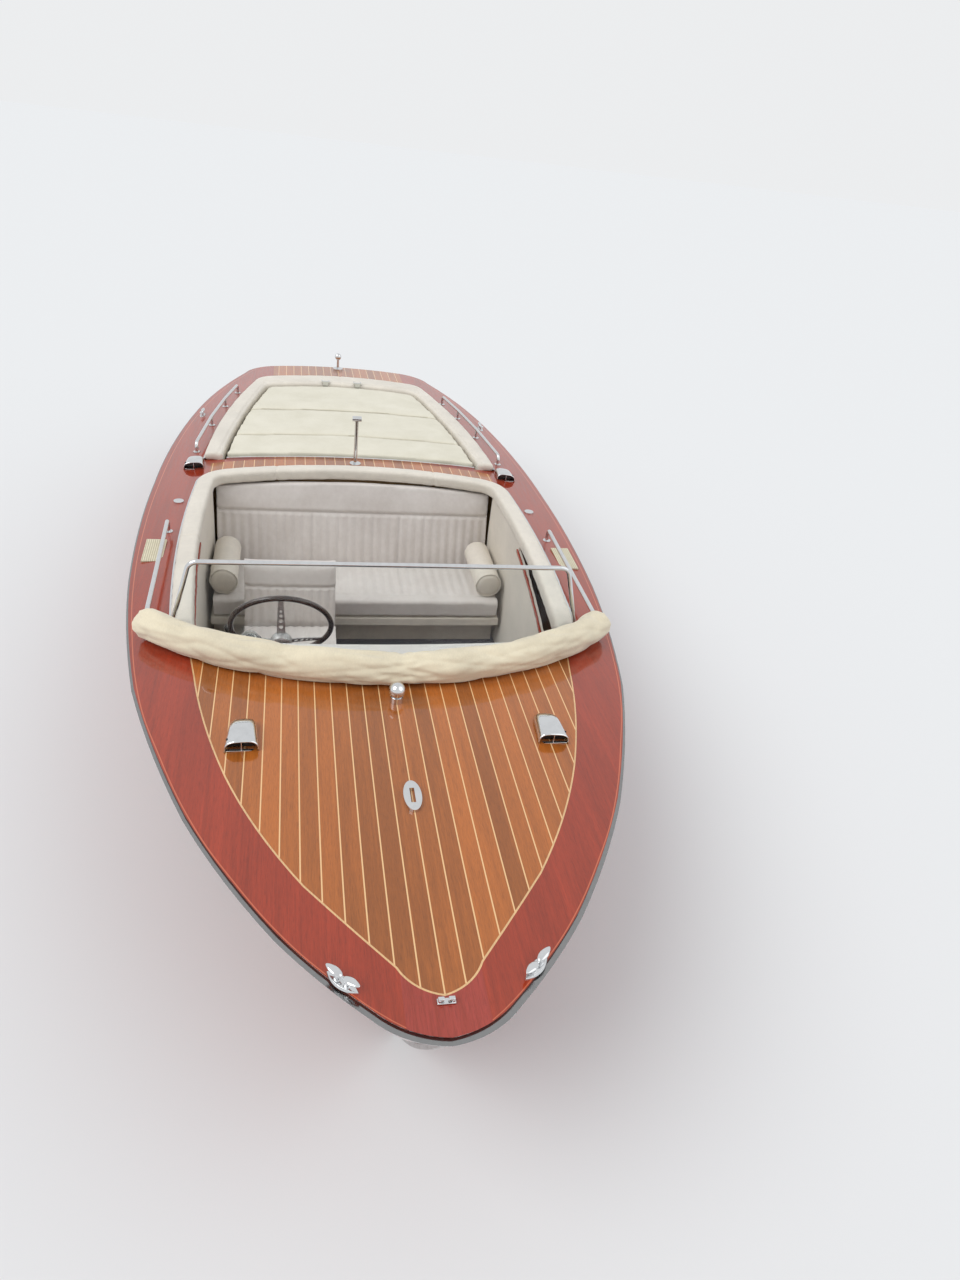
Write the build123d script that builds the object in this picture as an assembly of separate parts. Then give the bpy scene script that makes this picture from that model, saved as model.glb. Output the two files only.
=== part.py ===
from build123d import *
import math
import os

# Hull lines, in millimetres, with the waterline at z = 0 and the bow towards +X
HULL_LENGTH = 5750
HALF_LENGTH = HULL_LENGTH / 2
SHEER_MID = 752.8
SHEER_RISE = 0.0566
CAMBER_RADIUS = 8363
TRANSOM_RAKE = 0.06
TRANSOM_TOP = 590
SHELL = 22
DECK = 20
GLUE = 0.2

# Deck plan: station, half breadth at the sheer, fining of the side below it
PLAN = [
    (-2875, 0, 0.0),
    (-2869, 280, -0.06),
    (-2850, 490, -0.08),
    (-2795, 590, -0.085),
    (-2650, 668, -0.09),
    (-2250, 802, -0.08),
    (-1700, 921, -0.04),
    (-1100, 994, 0.01),
    (-400, 1025, 0.05),
    (200, 1020, 0.08),
    (700, 989, 0.12),
    (1100, 938, 0.16),
    (1500, 862, 0.22),
    (1830, 757, 0.32),
    (2130, 638, 0.44),
    (2380, 502, 0.55),
    (2560, 383, 0.66),
    (2690, 272, 0.78),
    (2795, 165, 0.90),
    (2852, 84, 1.00),
    (2875, 0, 1.00),
]

# Stem profile: height, station of the stem there
STEM = [(-400, 1780), (0, 2235), (400, 2552), (1100, 2966)]

# Deck crown: station, rise of the centreline over the sheer
CROWN = [(-2950, 50), (-2250, 56), (-1300, 62), (-300, 63), (700, 58), (1600, 41), (2300, 18), (2950, -3)]

# Keel: station, height, deadrise in degrees
KEEL = [
    (-2950, -228, 14.5),
    (-1900, -285, 16.0),
    (-900, -320, 18.5),
    (100, -330, 21.0),
    (1000, -308, 25.5),
    (1700, -225, 32.0),
    (2300, -40, 39.5),
    (2950, 330, 46.0),
]
LOFT_HALF = 1300
LOFT_FLOOR = -700
LOFT_CEILING = 2500

# Metal strips along the sheer, down the stem and the spray rail at the chine
RUB_PROUD = 8
RUB_TOP = 7
RUB_FOOT = 18
STEM_BAND_HALF = 12
STEM_BAND_PROUD = 6
SPRAY_PROUD = 34
SPRAY_THICK = 18
SPRAY_BOW_END = 1700

# Planked panels of the deck
SEAM_WIDTH = 5
SEAM_DEPTH = 3
MARGIN = [(1407, 675), (1720, 610), (1950, 540), (2200, 432), (2400, 318), (2545, 207), (2672, 106), (2733, 56), (2758, 0)]
MARGIN_AFT = (1180, 716)
BOW_PIECE_HALF = 98
BAND_WIDTH = 165
BAND_FRONT = -430
BAND_HALF = 768
AFT_DECK_FRONT = -2242
AFT_DECK_HALF = 470

# Cockpit coaming
COCKPIT_FRONT = 1150
COCKPIT_SIDE = [(1400, 742), (350, 828), (-520, 805)]
COCKPIT_AFT = -595
COCKPIT_CORNER = 160
COAMING_WIDTH = 82
COAMING_RISE = 22
COAMING_DROP = 35
COAMING_LAP = 30
COAMING_ROUND = 12
BEAD_WIDTH = 7
BEAD_RISE = 12
STRIP_WIDTH = 14
STRIP_RISE = 10
DASH_FRONT = 1395
DASH_HALF = 772

# Sunpad and engine hatch
PAD_FRONT = -745
PAD_OUTER = [(-700, 806), (-1500, 742), (-2395, 562)]
PAD_OUTER_AFT = -2450
PAD_OUTER_CORNER = 130
PAD_INNER = [(-700, 714), (-1500, 634), (-2190, 508)]
PAD_INNER_AFT = -2235
PAD_INNER_CORNER = 90
PAD_RISE = 40
PAD_ROUND = 18
HATCH_GAP = 9
LID_TOP = -55
LID_THICK = 15
LEDGE_GAP = 9
LEDGE_THICK = 16
LEDGE_WIDTH = 70
CUSHION_RISE = 28
CUSHION_SEAMS = (-1110, -1630)
CUSHION_GAP = 0.6
HINGE_Y = 110
HINGE_RADIUS = 5
HINGE_WIDTH = 36
HINGE_LIFT = 8
STRAP = 3

# Grab rail beside the sunpad: places of its posts
PAD_RAIL = [(-2085, 697), (-1763, 757), (-1370, 812), (-885, 858)]

# Cockpit interior
SOLE_Z = 30
SOLE_THICK = 15
MAT_AFT = 120
MAT_FORE = 980
MAT_SIDE = (-95, 560)
MAT_RISE = 6
MAT_CORNER = 30
AFT_BULKHEAD = -560
FORE_BULKHEAD = 1560
BULKHEAD_THICK = 12
PANEL_THICK = 10
PANEL_AFT = -550
POCKET = [(180, 500, 709), (1040, 500, 624), (1040, 500, 766), (180, 500, 732)]
BENCH_BACK = -370
BENCH_FRONT = 70
BENCH_TOP = 340
BENCH_CUSHION = 110
BENCH_HALF = 742
BENCH_KICK = 120
BACK_TOP = 760
BACK_THICK = 95
BACK_LEAN = 110
ARM_RADIUS = 73
ARM_LENGTH = 390
HELM_Y = -350
HELM_WIDTH = 460
HELM_BACK = 250
HELM_SEAT_TOP = 330
HELM_DEPTH = 480
HELM_BACK_TOP = 620
HELM_CUSHION = 80
DASH_THICK = 18
DASH_RISE = 8
DASH_PANEL_DEPTH = 270
DASH_PANEL_THICK = 14
DASH_PANEL_HALF = 690
THROTTLE_FACE = 690

# Steering
WHEEL_X = 935
WHEEL_Y = -385
WHEEL_Z = 748
WHEEL_TILT = 25
WHEEL_RADIUS = 196
RIM_RADIUS = 11
WHEEL_DISH = 72
HUB_RADIUS = 42
HUB_LENGTH = 34
SPOKE_WIDTH = 30
SPOKE_THICK = 4
COLUMN_RADIUS = 21
RUDDER_X = -2560
RUDDER_STOCK = 14
RUDDER_CLEAR = 0.4
RUDDER_FORE = 60
RUDDER_AFT = 165
RUDDER_TOP = -290
RUDDER_FOOT = -585
RUDDER_THICK = 14

# Drive train
SHAFT_SLOPE = 12
SHAFT_RADIUS = 14
PROP_X = -2300
PROP_Z = -440
PROP_RADIUS = 150
BLADE_COUNT = 3
SHAFT_FORE = -1440
ENGINE_BACK = -2240
ENGINE_FRONT = -1560
ENGINE_HALF = 300
ENGINE_BOTTOM = -150
ENGINE_TOP = 400
DRIVE_FRONT = -1330

# Windshield
GLASS_THICK = 6
GLASS_BASE_HALF = 791
GLASS_BASE_END = 1089
GLASS_BASE_BOW = 1533
GLASS_BASE_Z = 790
GLASS_TOP_HALF = 700
GLASS_TOP_X = 1105
GLASS_TOP_Z = 1125
GLASS_CLEAR = 3
GLASS_FOOT_LAP = 14
COAMING_LIFT = 64
DASH_LIFT = 80
RAIL_RADIUS = 9
ROLL_RADIUS = 62
ROLL_HALF = 865
ROLL_END_X = 1115
ROLL_MID_X = 1492
ROLL_SINK = 5
COWL_AFT = -62
COWL_FORE = 56
COWL_HALF = 52
COWL_AFT_HALF = 40
COWL_HEIGHT = 46
COWL_WALL = 3
CLEAT_HALF = 48
CLEAT_FOOT_HALF = 23
CLEAT_FOOT = 6
CLEAT_GAP = 3
CLEAT_HEIGHT = 26
CLEAT_HORN_HALF = 15
MAST_X = -665
MAST_HEIGHT = 262
PIPE_Y = 360
PIPE_Z = 60
PIPE_RADIUS = 34
PIPE_WALL = 6
PIPE_PROUD = 55

os.makedirs("parts", exist_ok=True)


def save(name, shape):
    export_step(shape, "parts/" + name + ".step")


def arc(a, b, c):
    return Edge.make_three_point_arc(Vector(*a), Vector(*b), Vector(*c))


def line(a, b):
    return Edge.make_line(Vector(*a), Vector(*b))


def ring_face(edges):
    return Face(Wire(edges))


def prism(face, low=-700, high=2000):
    return extrude(Pos(0, 0, low) * face, amount=high - low, dir=(0, 0, 1))


def block(x0, x1, y0, y1, z0, z1):
    size = Box(x1 - x0, y1 - y0, z1 - z0)
    return Pos((x0 + x1) / 2, (y0 + y1) / 2, (z0 + z1) / 2) * size


def rod(a, b, radius):
    a, b = Vector(*a), Vector(*b)
    plane = Plane(origin=a, z_dir=b - a)
    return Solid.make_cylinder(radius, (b - a).length, plane)


def swept(points, radius, bend):
    path = FilletPolyline(*[Vector(*p) for p in points], radius=bend)
    start = Plane(origin=path @ 0, z_dir=path % 0)
    return sweep(start * Circle(radius), path=path, transition=Transition.ROUND)


def both(shape):
    return [shape, mirror(shape, about=Plane.XZ)]


def group(shapes):
    solids = []
    for shape in shapes:
        solids += shape.solids()
    return Compound(children=solids)


def sheer_z(x):
    return SHEER_MID + SHEER_RISE * x


def crown_at(x):
    for (xa, ca), (xb, cb) in zip(CROWN, CROWN[1:]):
        if x <= xb:
            return ca + (cb - ca) * (x - xa) / (xb - xa)
    return CROWN[-1][1]


def deck_z(x, y=0):
    return sheer_z(x) + crown_at(x) - y * y / (2 * CAMBER_RADIUS)


# Hull bodies
def plan_face(z, stem, inset):
    tail = -HALF_LENGTH + TRANSOM_RAKE * (TRANSOM_TOP - z) + inset
    tip = stem - 2.5 * inset
    points = []
    for x, half, fine in PLAN:
        share = (x + HALF_LENGTH) / HULL_LENGTH
        wide = half * math.exp(-fine * (sheer_z(x) - z) / 1000)
        wide -= inset * min(1, wide / (4 * abs(inset) + 1e-9))
        points.append((tail + share * (tip - tail), wide))
    port = []
    starboard = []
    for k in range(0, len(points) - 2, 2):
        trio = [(x, y, z) for x, y in points[k:k + 3]]
        port.append(arc(*trio))
        other = [(x, -y, z) for x, y, z in trio]
        starboard.insert(0, arc(other[2], other[1], other[0]))
    return ring_face(port + starboard)


def plan_body(inset):
    return loft([plan_face(z, stem, inset) for z, stem in STEM])


def crown_face(x, crown, rise):
    top = sheer_z(x) + crown + rise
    side = top - LOFT_HALF ** 2 / (2 * CAMBER_RADIUS)
    w = LOFT_HALF
    edges = [
        line((x, w, LOFT_FLOOR), (x, w, side)),
        arc((x, w, side), (x, 0, top), (x, -w, side)),
        line((x, -w, side), (x, -w, LOFT_FLOOR)),
        line((x, -w, LOFT_FLOOR), (x, w, LOFT_FLOOR)),
    ]
    return ring_face(edges)


def under_deck(rise):
    return loft([crown_face(x, crown, rise) for x, crown in CROWN])


def keel_face(x, keel, deadrise, rise):
    low = keel + rise
    side = low + LOFT_HALF * math.tan(math.radians(deadrise))
    w = LOFT_HALF
    points = [(x, 0, low), (x, w, side), (x, w, LOFT_CEILING), (x, -w, LOFT_CEILING), (x, -w, side)]
    return ring_face([line(points[k], points[(k + 1) % 5]) for k in range(5)])


def over_bottom(rise):
    return loft([keel_face(x, keel, dead, rise) for x, keel, dead in KEEL])


OUTSIDE = plan_body(0)
INSIDE = plan_body(SHELL)
DECK_TOP = under_deck(0)
DECK_SEAT = under_deck(GLUE)
DECK_UNDER = under_deck(-DECK)
TOPSIDE_TOP = under_deck(-DECK - GLUE)
BOTTOM_OUT = over_bottom(0)
BOTTOM_IN = over_bottom(SHELL)
BOTTOM_SEAT = over_bottom(SHELL + GLUE)
CAVITY = (plan_body(SHELL + GLUE) & TOPSIDE_TOP) & BOTTOM_SEAT


# Plan outlines on the deck
def circle_through(p, q, r):
    ax, ay = q[0] - p[0], q[1] - p[1]
    bx, by = r[0] - p[0], r[1] - p[1]
    turn = 2 * (ax * by - ay * bx)
    a2, b2 = ax * ax + ay * ay, bx * bx + by * by
    cx = (by * a2 - ay * b2) / turn
    cy = (ax * b2 - bx * a2) / turn
    return p[0] + cx, p[1] + cy, math.hypot(cx, cy)


def circles_meet(one, two, near):
    dx, dy = two[0] - one[0], two[1] - one[1]
    gap = math.hypot(dx, dy)
    along = (one[2] ** 2 - two[2] ** 2 + gap ** 2) / (2 * gap)
    off = math.sqrt(one[2] ** 2 - along ** 2)
    points = []
    for sign in (-1, 1):
        x = one[0] + (along * dx - sign * off * dy) / gap
        y = one[1] + (along * dy + sign * off * dx) / gap
        points.append((x, y))
    return min(points, key=lambda p: math.dist(p, near))


def pulled_in(point, circle, inset):
    share = (circle[2] - inset) / circle[2]
    return circle[0] + (point[0] - circle[0]) * share, circle[1] + (point[1] - circle[1]) * share


def flipped(point):
    return point[0], -point[1]


def two_corner_face(side, aft, corner, inset):
    front, mid, rear = side
    flank = circle_through(front, mid, rear)
    stern = circle_through(rear, (aft, 0), flipped(rear))
    front = pulled_in(front, flank, inset)
    mid = pulled_in(mid, flank, inset)
    flank = (flank[0], flank[1], flank[2] - inset)
    stern = (stern[0], stern[1], stern[2] - inset)
    rear = circles_meet(flank, stern, rear)
    edges = [
        arc(front, mid, rear),
        arc(rear, (aft + inset, 0), flipped(rear)),
        arc(flipped(rear), flipped(mid), flipped(front)),
        line(flipped(front), front),
    ]
    face = ring_face(edges)
    rear_corners = face.vertices().sort_by(Axis.X)[:2]
    return fillet(rear_corners, radius=max(corner - inset, 8))


def inset_face(face, inset):
    if inset == 0:
        return face
    return offset(face, amount=-inset, kind=Kind.INTERSECTION)


def cockpit_prism(inset, front=COCKPIT_FRONT):
    body = prism(two_corner_face(COCKPIT_SIDE, COCKPIT_AFT, COCKPIT_CORNER, inset))
    return body & block(-3000, front, -1200, 1200, -800, 2100)


def dash_prism(inset, front=COCKPIT_FRONT):
    bow = circle_through((COCKPIT_FRONT, DASH_HALF), (DASH_FRONT, 0), (COCKPIT_FRONT, -DASH_HALF))
    half = DASH_HALF - inset
    x = bow[0] + math.sqrt((bow[2] - inset) ** 2 - half ** 2)
    back = COCKPIT_FRONT - 200 + inset
    face = ring_face([
        arc((x, half), (DASH_FRONT - inset, 0), (x, -half)),
        line((x, -half), (back, -half)),
        line((back, -half), (back, half)),
        line((back, half), (x, half)),
    ])
    return prism(face) & block(front, 3000, -1200, 1200, -800, 2100)


def pad_outer_prism(inset, front=PAD_FRONT):
    body = prism(two_corner_face(PAD_OUTER, PAD_OUTER_AFT, PAD_OUTER_CORNER, inset))
    return body & block(-3000, front, -1200, 1200, -800, 2100)


def pad_inner_prism(inset, front=PAD_FRONT):
    body = prism(two_corner_face(PAD_INNER, PAD_INNER_AFT, PAD_INNER_CORNER, inset))
    return body & block(-3000, front, -1200, 1200, -800, 2100)


def margin_prism(inset=0):
    points = MARGIN
    port = [
        line(MARGIN_AFT, points[0]),
        arc(points[0], points[1], points[2]),
        arc(points[2], points[3], points[4]),
        arc(points[4], points[5], points[6]),
        arc(points[6], points[7], points[8]),
    ]
    starboard = [edge.mirror(Plane.XZ) for edge in port[::-1]]
    closing = line((MARGIN_AFT[0], -MARGIN_AFT[1]), MARGIN_AFT)
    return prism(inset_face(ring_face(port + starboard + [closing]), inset))


def behind_glass(lift, clear):
    share = lift / (GLASS_TOP_Z - GLASS_BASE_Z)
    half = (1 - share) * GLASS_BASE_HALF + share * GLASS_TOP_HALF - GLASS_THICK - clear
    bow = (1 - share) * GLASS_BASE_BOW + share * GLASS_TOP_X - GLASS_THICK - clear
    end = GLASS_BASE_END - clear
    return prism(ring_face([
        arc((end, half), (bow, 0), (end, -half)),
        line((end, -half), (end, -1200)),
        line((end, -1200), (-3000, -1200)),
        line((-3000, -1200), (-3000, 1200)),
        line((-3000, 1200), (end, 1200)),
        line((end, 1200), (end, half)),
    ]))


GLASS_SIDE = behind_glass(DASH_LIFT, GLASS_CLEAR + GLASS_FOOT_LAP)
COCKPIT_HOLE = cockpit_prism(COAMING_LAP, COCKPIT_FRONT + 50) + dash_prism(COAMING_LAP, COCKPIT_FRONT)
COCKPIT_HOLE = COCKPIT_HOLE & GLASS_SIDE
PAD_HOLE = pad_inner_prism(-COAMING_LAP)
MARGIN_BODY = margin_prism()


# Hull shell
def make_hull():
    sides = (OUTSIDE - INSIDE) & TOPSIDE_TOP & BOTTOM_SEAT
    stern = block(-3000, -2835, -470, 470, -600, 1200)
    save("transom", sides & stern)
    save("hull_topsides", sides - stern)
    bottom = (OUTSIDE & BOTTOM_OUT & TOPSIDE_TOP) - BOTTOM_IN
    slope = math.tan(math.radians(SHAFT_SLOPE))
    tube = rod((PROP_X, 0, PROP_Z), (SHAFT_FORE, 0, PROP_Z + slope * (SHAFT_FORE - PROP_X)), SHAFT_RADIUS + 3)
    stock = rod((RUDDER_X, 0, -700), (RUDDER_X, 0, 0), RUDDER_STOCK + RUDDER_CLEAR)
    save("hull_bottom", bottom - tube - stock)


def make_deck():
    slab = (OUTSIDE & DECK_TOP) - DECK_UNDER
    slab = slab - COCKPIT_HOLE - PAD_HOLE
    band_zone = cockpit_prism(-BAND_WIDTH) & block(PAD_FRONT, BAND_FRONT, -BAND_HALF, BAND_HALF, 0, 1500)
    aft_zone = block(-3000, AFT_DECK_FRONT, -AFT_DECK_HALF, AFT_DECK_HALF, 0, 1500)
    bow_zone = block(2600, 3000, -BOW_PIECE_HALF, BOW_PIECE_HALF, 0, 1500) - MARGIN_BODY
    planking = slab & MARGIN_BODY
    inlay = (planking - margin_prism(SEAM_WIDTH)) - under_deck(-SEAM_DEPTH)
    save("margin_inlay", inlay)
    save("foredeck_planking", planking - inlay)
    save("midship_band", slab & band_zone)
    save("aft_deck", slab & aft_zone)
    save("bow_deck_piece", slab & bow_zone)
    save("covering_boards", group([slab - MARGIN_BODY - band_zone - aft_zone - bow_zone]))


def make_rub_rail():
    belt = plan_body(-RUB_PROUD) - plan_body(-GLUE)
    belt = (belt & under_deck(-RUB_TOP)) - under_deck(-RUB_FOOT)
    save("rub_rail", belt)


def make_stem_band():
    band = plan_body(-STEM_BAND_PROUD) - plan_body(-GLUE)
    zone = block(1700, 3000, -STEM_BAND_HALF, STEM_BAND_HALF, -600, 1500)
    band = band & zone & under_deck(-RUB_FOOT - GLUE) & over_bottom(30)
    save("stem_band", band)


def make_spray_rails():
    zone = (plan_body(-SPRAY_PROUD) - plan_body(-GLUE)) & over_bottom(2)
    rails = zone & block(-2700, SPRAY_BOW_END, -1200, 1200, -600, 1200)
    save("spray_rails", group([rails - over_bottom(2 + SPRAY_THICK)]))


# Coamings and dash top
def crested(body, rise, radius, front):
    crest = []
    for edge in body.edges():
        middle = edge @ 0.5
        if abs(middle.Z - deck_z(middle.X, middle.Y) - rise) < 8 and middle.X < front - 3:
            crest.append(edge)
    return fillet(crest, radius=radius)


def make_coamings():
    seat_side = behind_glass(DASH_LIFT, GLASS_CLEAR + GLASS_FOOT_LAP + GLUE)
    bite = DECK_SEAT - (cockpit_prism(COAMING_LAP + GLUE, COCKPIT_FRONT + 60) & seat_side)
    ring = cockpit_prism(0, COCKPIT_FRONT - 1) - cockpit_prism(COAMING_WIDTH)
    ring = (ring & under_deck(COAMING_RISE)) - under_deck(-COAMING_DROP)
    ring = crested(ring, COAMING_RISE, COAMING_ROUND, COCKPIT_FRONT) - bite
    save("cockpit_coaming", ring & behind_glass(COAMING_LIFT, GLASS_CLEAR))
    pad_bite = DECK_SEAT - pad_inner_prism(-COAMING_LAP + GLUE)
    pad = pad_outer_prism(0, PAD_FRONT - 1) - pad_inner_prism(0)
    pad = (pad & under_deck(PAD_RISE)) - under_deck(-COAMING_DROP)
    save("sunpad_coaming", crested(pad, PAD_RISE, PAD_ROUND, PAD_FRONT) - pad_bite)
    beads = cockpit_prism(-BEAD_WIDTH - GLUE) - cockpit_prism(-GLUE)
    beads = beads & block(-3000, 1040, -1200, 1200, 0, 1500)
    pad_beads = pad_outer_prism(-BEAD_WIDTH - GLUE) - pad_outer_prism(-GLUE)
    trims = [((b & under_deck(BEAD_RISE)) - DECK_SEAT) for b in (beads, pad_beads)]
    strip = block(PAD_FRONT - STRIP_WIDTH, PAD_FRONT - 0.5, -690, 690, 0, 1500)
    trims.append((strip & under_deck(STRIP_RISE)) - under_deck(-2 * DECK))
    save("coaming_trim", group(trims))
    dash_bite = DECK_SEAT - (dash_prism(COAMING_LAP + GLUE, COCKPIT_FRONT - 100) & seat_side)
    dash = (dash_prism(0) & under_deck(DASH_RISE)) - under_deck(-DASH_THICK) - dash_bite
    save("dash_top", dash & behind_glass(DASH_LIFT, GLASS_CLEAR))


# Engine hatch
def make_hatch():
    lid_low = LID_TOP - LID_THICK
    lid = pad_inner_prism(HATCH_GAP + 2, PAD_FRONT - 26)
    save("hatch_lid", (lid & under_deck(LID_TOP)) - under_deck(lid_low))
    wall = pad_inner_prism(-COAMING_LAP - 16, PAD_FRONT + 16) - pad_inner_prism(-COAMING_LAP + GLUE, PAD_FRONT - GLUE)
    ledge_top = lid_low - LEDGE_GAP
    ledge_low = ledge_top - LEDGE_THICK
    wall = (wall & TOPSIDE_TOP) - under_deck(ledge_low)
    ledge = pad_inner_prism(-COAMING_LAP, PAD_FRONT) - pad_inner_prism(LEDGE_WIDTH, PAD_FRONT - 90)
    ledge = (ledge & under_deck(ledge_top)) - under_deck(ledge_low)
    save("hatch_frame", wall + ledge)
    cushion = pad_inner_prism(HATCH_GAP + 2, PAD_FRONT - 28)
    cushion = (cushion & under_deck(CUSHION_RISE)) - under_deck(LID_TOP + GLUE)
    cuts = [PAD_FRONT, CUSHION_SEAMS[0], CUSHION_SEAMS[1], -2600]
    names = ["sunpad_cushion_front", "sunpad_cushion_middle", "sunpad_cushion_aft"]
    for name, x1, x0 in zip(names, cuts, cuts[1:]):
        save(name, cushion & block(x0 + CUSHION_GAP, x1, -900, 900, 0, 1500))


HINGE_X = PAD_INNER_AFT - 2
HINGE_Z = deck_z(HINGE_X) + PAD_RISE + HINGE_LIFT


def make_hinges():
    straps = []
    pins = []
    for y in (-HINGE_Y, HINGE_Y):
        near = abs(y) - HINGE_WIDTH / 2
        sag = (PAD_INNER[2][0] - PAD_INNER_AFT) * (near / PAD_INNER[2][1]) ** 2
        face_x = PAD_INNER_AFT + sag + HATCH_GAP + 2 - 0.3
        y0, y1 = y - HINGE_WIDTH / 2, y + HINGE_WIDTH / 2
        low = deck_z(HINGE_X, y) + LID_TOP - LID_THICK - 20
        arm = block(face_x - STRAP, face_x, y0, y1, low, HINGE_Z + 2 + STRAP)
        arm += block(face_x - STRAP, face_x + 60, y0, y1, low, low + 60) & under_deck(LID_TOP - LID_THICK - GLUE)
        arm -= under_deck(LID_TOP - LID_THICK - STRAP)
        arm += block(HINGE_X, face_x, y0, y1, HINGE_Z + 2, HINGE_Z + 2 + STRAP)
        arm += rod((HINGE_X, y0, HINGE_Z), (HINGE_X, y1, HINGE_Z), HINGE_RADIUS)
        arm -= rod((HINGE_X, y0 - 5, HINGE_Z), (HINGE_X, y1 + 5, HINGE_Z), 2.6)
        straps.append(arm)
        pin = rod((HINGE_X, y0 - 9, HINGE_Z), (HINGE_X, y1 + 9, HINGE_Z), 2.2)
        foot_z = deck_z(HINGE_X, y) + PAD_RISE - 6
        for a, b in ((y0 - 9, y0 - 2), (y1 + 2, y1 + 9)):
            pin += block(HINGE_X - 26, HINGE_X + 5, a, b, foot_z, HINGE_Z + 4)
        pins.append(pin - under_deck(PAD_RISE + GLUE))
    save("hatch_hinge_straps", group(straps))
    save("hatch_hinge_pins", group(pins))


# Structure inside the hull
def make_inside():
    sole = block(AFT_BULKHEAD + 15, FORE_BULKHEAD - 15, -1100, 1100, SOLE_Z - SOLE_THICK, SOLE_Z)
    mat = block(MAT_AFT, MAT_FORE, MAT_SIDE[0], MAT_SIDE[1], SOLE_Z - 2, SOLE_Z + MAT_RISE)
    save("cockpit_sole", (sole & CAVITY) + fillet(mat.edges().filter_by(Axis.Z), MAT_CORNER))
    aft = block(AFT_BULKHEAD - BULKHEAD_THICK, AFT_BULKHEAD, -1100, 1100, -400, 900)
    fore = block(FORE_BULKHEAD, FORE_BULKHEAD + BULKHEAD_THICK, -1100, 1100, -400, 1000)
    floors = [aft & CAVITY & under_deck(-COAMING_DROP - GLUE), fore & CAVITY]
    for x in (-200, 500, 1150):
        floors.append(block(x, x + 18, -900, 900, -400, SOLE_Z - SOLE_THICK - GLUE) & CAVITY)
    save("bulkheads", group(floors))


def make_panels():
    ring = cockpit_prism(COAMING_WIDTH - 24) - cockpit_prism(COAMING_WIDTH - 24 + PANEL_THICK)
    ring = ring & block(PANEL_AFT, COCKPIT_FRONT - 1, -900, 900, SOLE_Z + GLUE, 900)
    ring = ring & under_deck(-COAMING_DROP - GLUE) & CAVITY
    ring -= block(PANEL_AFT - 100, BENCH_BACK + 5, -BENCH_HALF - 1, BENCH_HALF + 1, 0, 1500)
    port = ring & block(-1000, 1500, 0, 1000, 0, 1500)
    starboard = ring & block(-1000, 1500, -1000, 0, 0, 1500)
    pocket = extrude(Face(Polyline(*POCKET, close=True).wire()), amount=400, dir=(0, 1, 0))
    save("side_panels", group([port - pocket, starboard]))


def make_bench():
    base = block(BENCH_BACK + GLUE, BENCH_FRONT - BENCH_KICK, -BENCH_HALF, BENCH_HALF, SOLE_Z + GLUE, 190)
    base += block(BENCH_BACK + GLUE, BENCH_FRONT - 12, -BENCH_HALF, BENCH_HALF, 190, BENCH_TOP - BENCH_CUSHION)
    save("bench_base", base)
    seat = block(BENCH_BACK + 1, BENCH_FRONT, -BENCH_HALF, BENCH_HALF, BENCH_TOP - BENCH_CUSHION + 0.3, BENCH_TOP)
    save("bench_cushion", fillet(seat.edges().filter_by(Axis.Y), 18))
    profile = Polyline(
        (BENCH_BACK, 0, SOLE_Z + 1),
        (BENCH_BACK, 0, BENCH_TOP - 20),
        (BENCH_BACK - BACK_LEAN, 0, BACK_TOP),
        (BENCH_BACK - BACK_LEAN - 50, 0, BACK_TOP),
        (BENCH_BACK - BACK_THICK - 65, 0, BENCH_TOP),
        (BENCH_BACK - BACK_THICK - 65, 0, SOLE_Z + 1),
        close=True,
    )
    back = extrude(Face(profile.wire()), amount=BENCH_HALF, dir=(0, 1, 0), both=True)
    back = back & under_deck(-COAMING_DROP - 1) & block(AFT_BULKHEAD + 1, 500, -900, 900, 0, 1500)
    save("bench_backrest", back)
    arms = []
    for side in (-1, 1):
        y = side * (BENCH_HALF + 3 - ARM_RADIUS)
        z = BENCH_TOP + ARM_RADIUS + 0.5
        arms.append(rod((BENCH_BACK + 2, y, z), (BENCH_BACK + 2 + ARM_LENGTH, y, z), ARM_RADIUS))
    save("armrests", group(arms))


def make_helm_seat():
    y0, y1 = HELM_Y - HELM_WIDTH / 2, HELM_Y + HELM_WIDTH / 2
    top = HELM_SEAT_TOP - HELM_CUSHION
    base = block(HELM_BACK, HELM_BACK + HELM_DEPTH - 60, y0 + 30, y1 - 30, SOLE_Z + GLUE, top)
    save("helm_seat_base", base)
    seat = block(HELM_BACK + 1, HELM_BACK + HELM_DEPTH, y0, y1, top + 0.3, HELM_SEAT_TOP)
    save("helm_seat_cushion", fillet(seat.edges().filter_by(Axis.Y), 18))
    profile = Polyline(
        (HELM_BACK, 0, top - 40),
        (HELM_BACK, 0, HELM_SEAT_TOP),
        (HELM_BACK - 70, 0, HELM_BACK_TOP),
        (HELM_BACK - 70 - HELM_CUSHION, 0, HELM_BACK_TOP),
        (HELM_BACK - HELM_CUSHION, 0, top - 40),
        close=True,
    )
    back = extrude(Face(profile.wire()), amount=HELM_WIDTH / 2, dir=(0, 1, 0), both=True)
    back = Pos(0, HELM_Y, 0) * back
    save("helm_seat_back", fillet(back.edges().filter_by(Axis.Y).sort_by(Axis.Z)[-2:], 24))


# Helm
AXIS_DIR = Vector(-math.cos(math.radians(WHEEL_TILT)), 0, math.sin(math.radians(WHEEL_TILT)))
RIM_CENTRE = Vector(WHEEL_X, WHEEL_Y, WHEEL_Z)
HUB_CENTRE = RIM_CENTRE - AXIS_DIR * WHEEL_DISH


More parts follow.
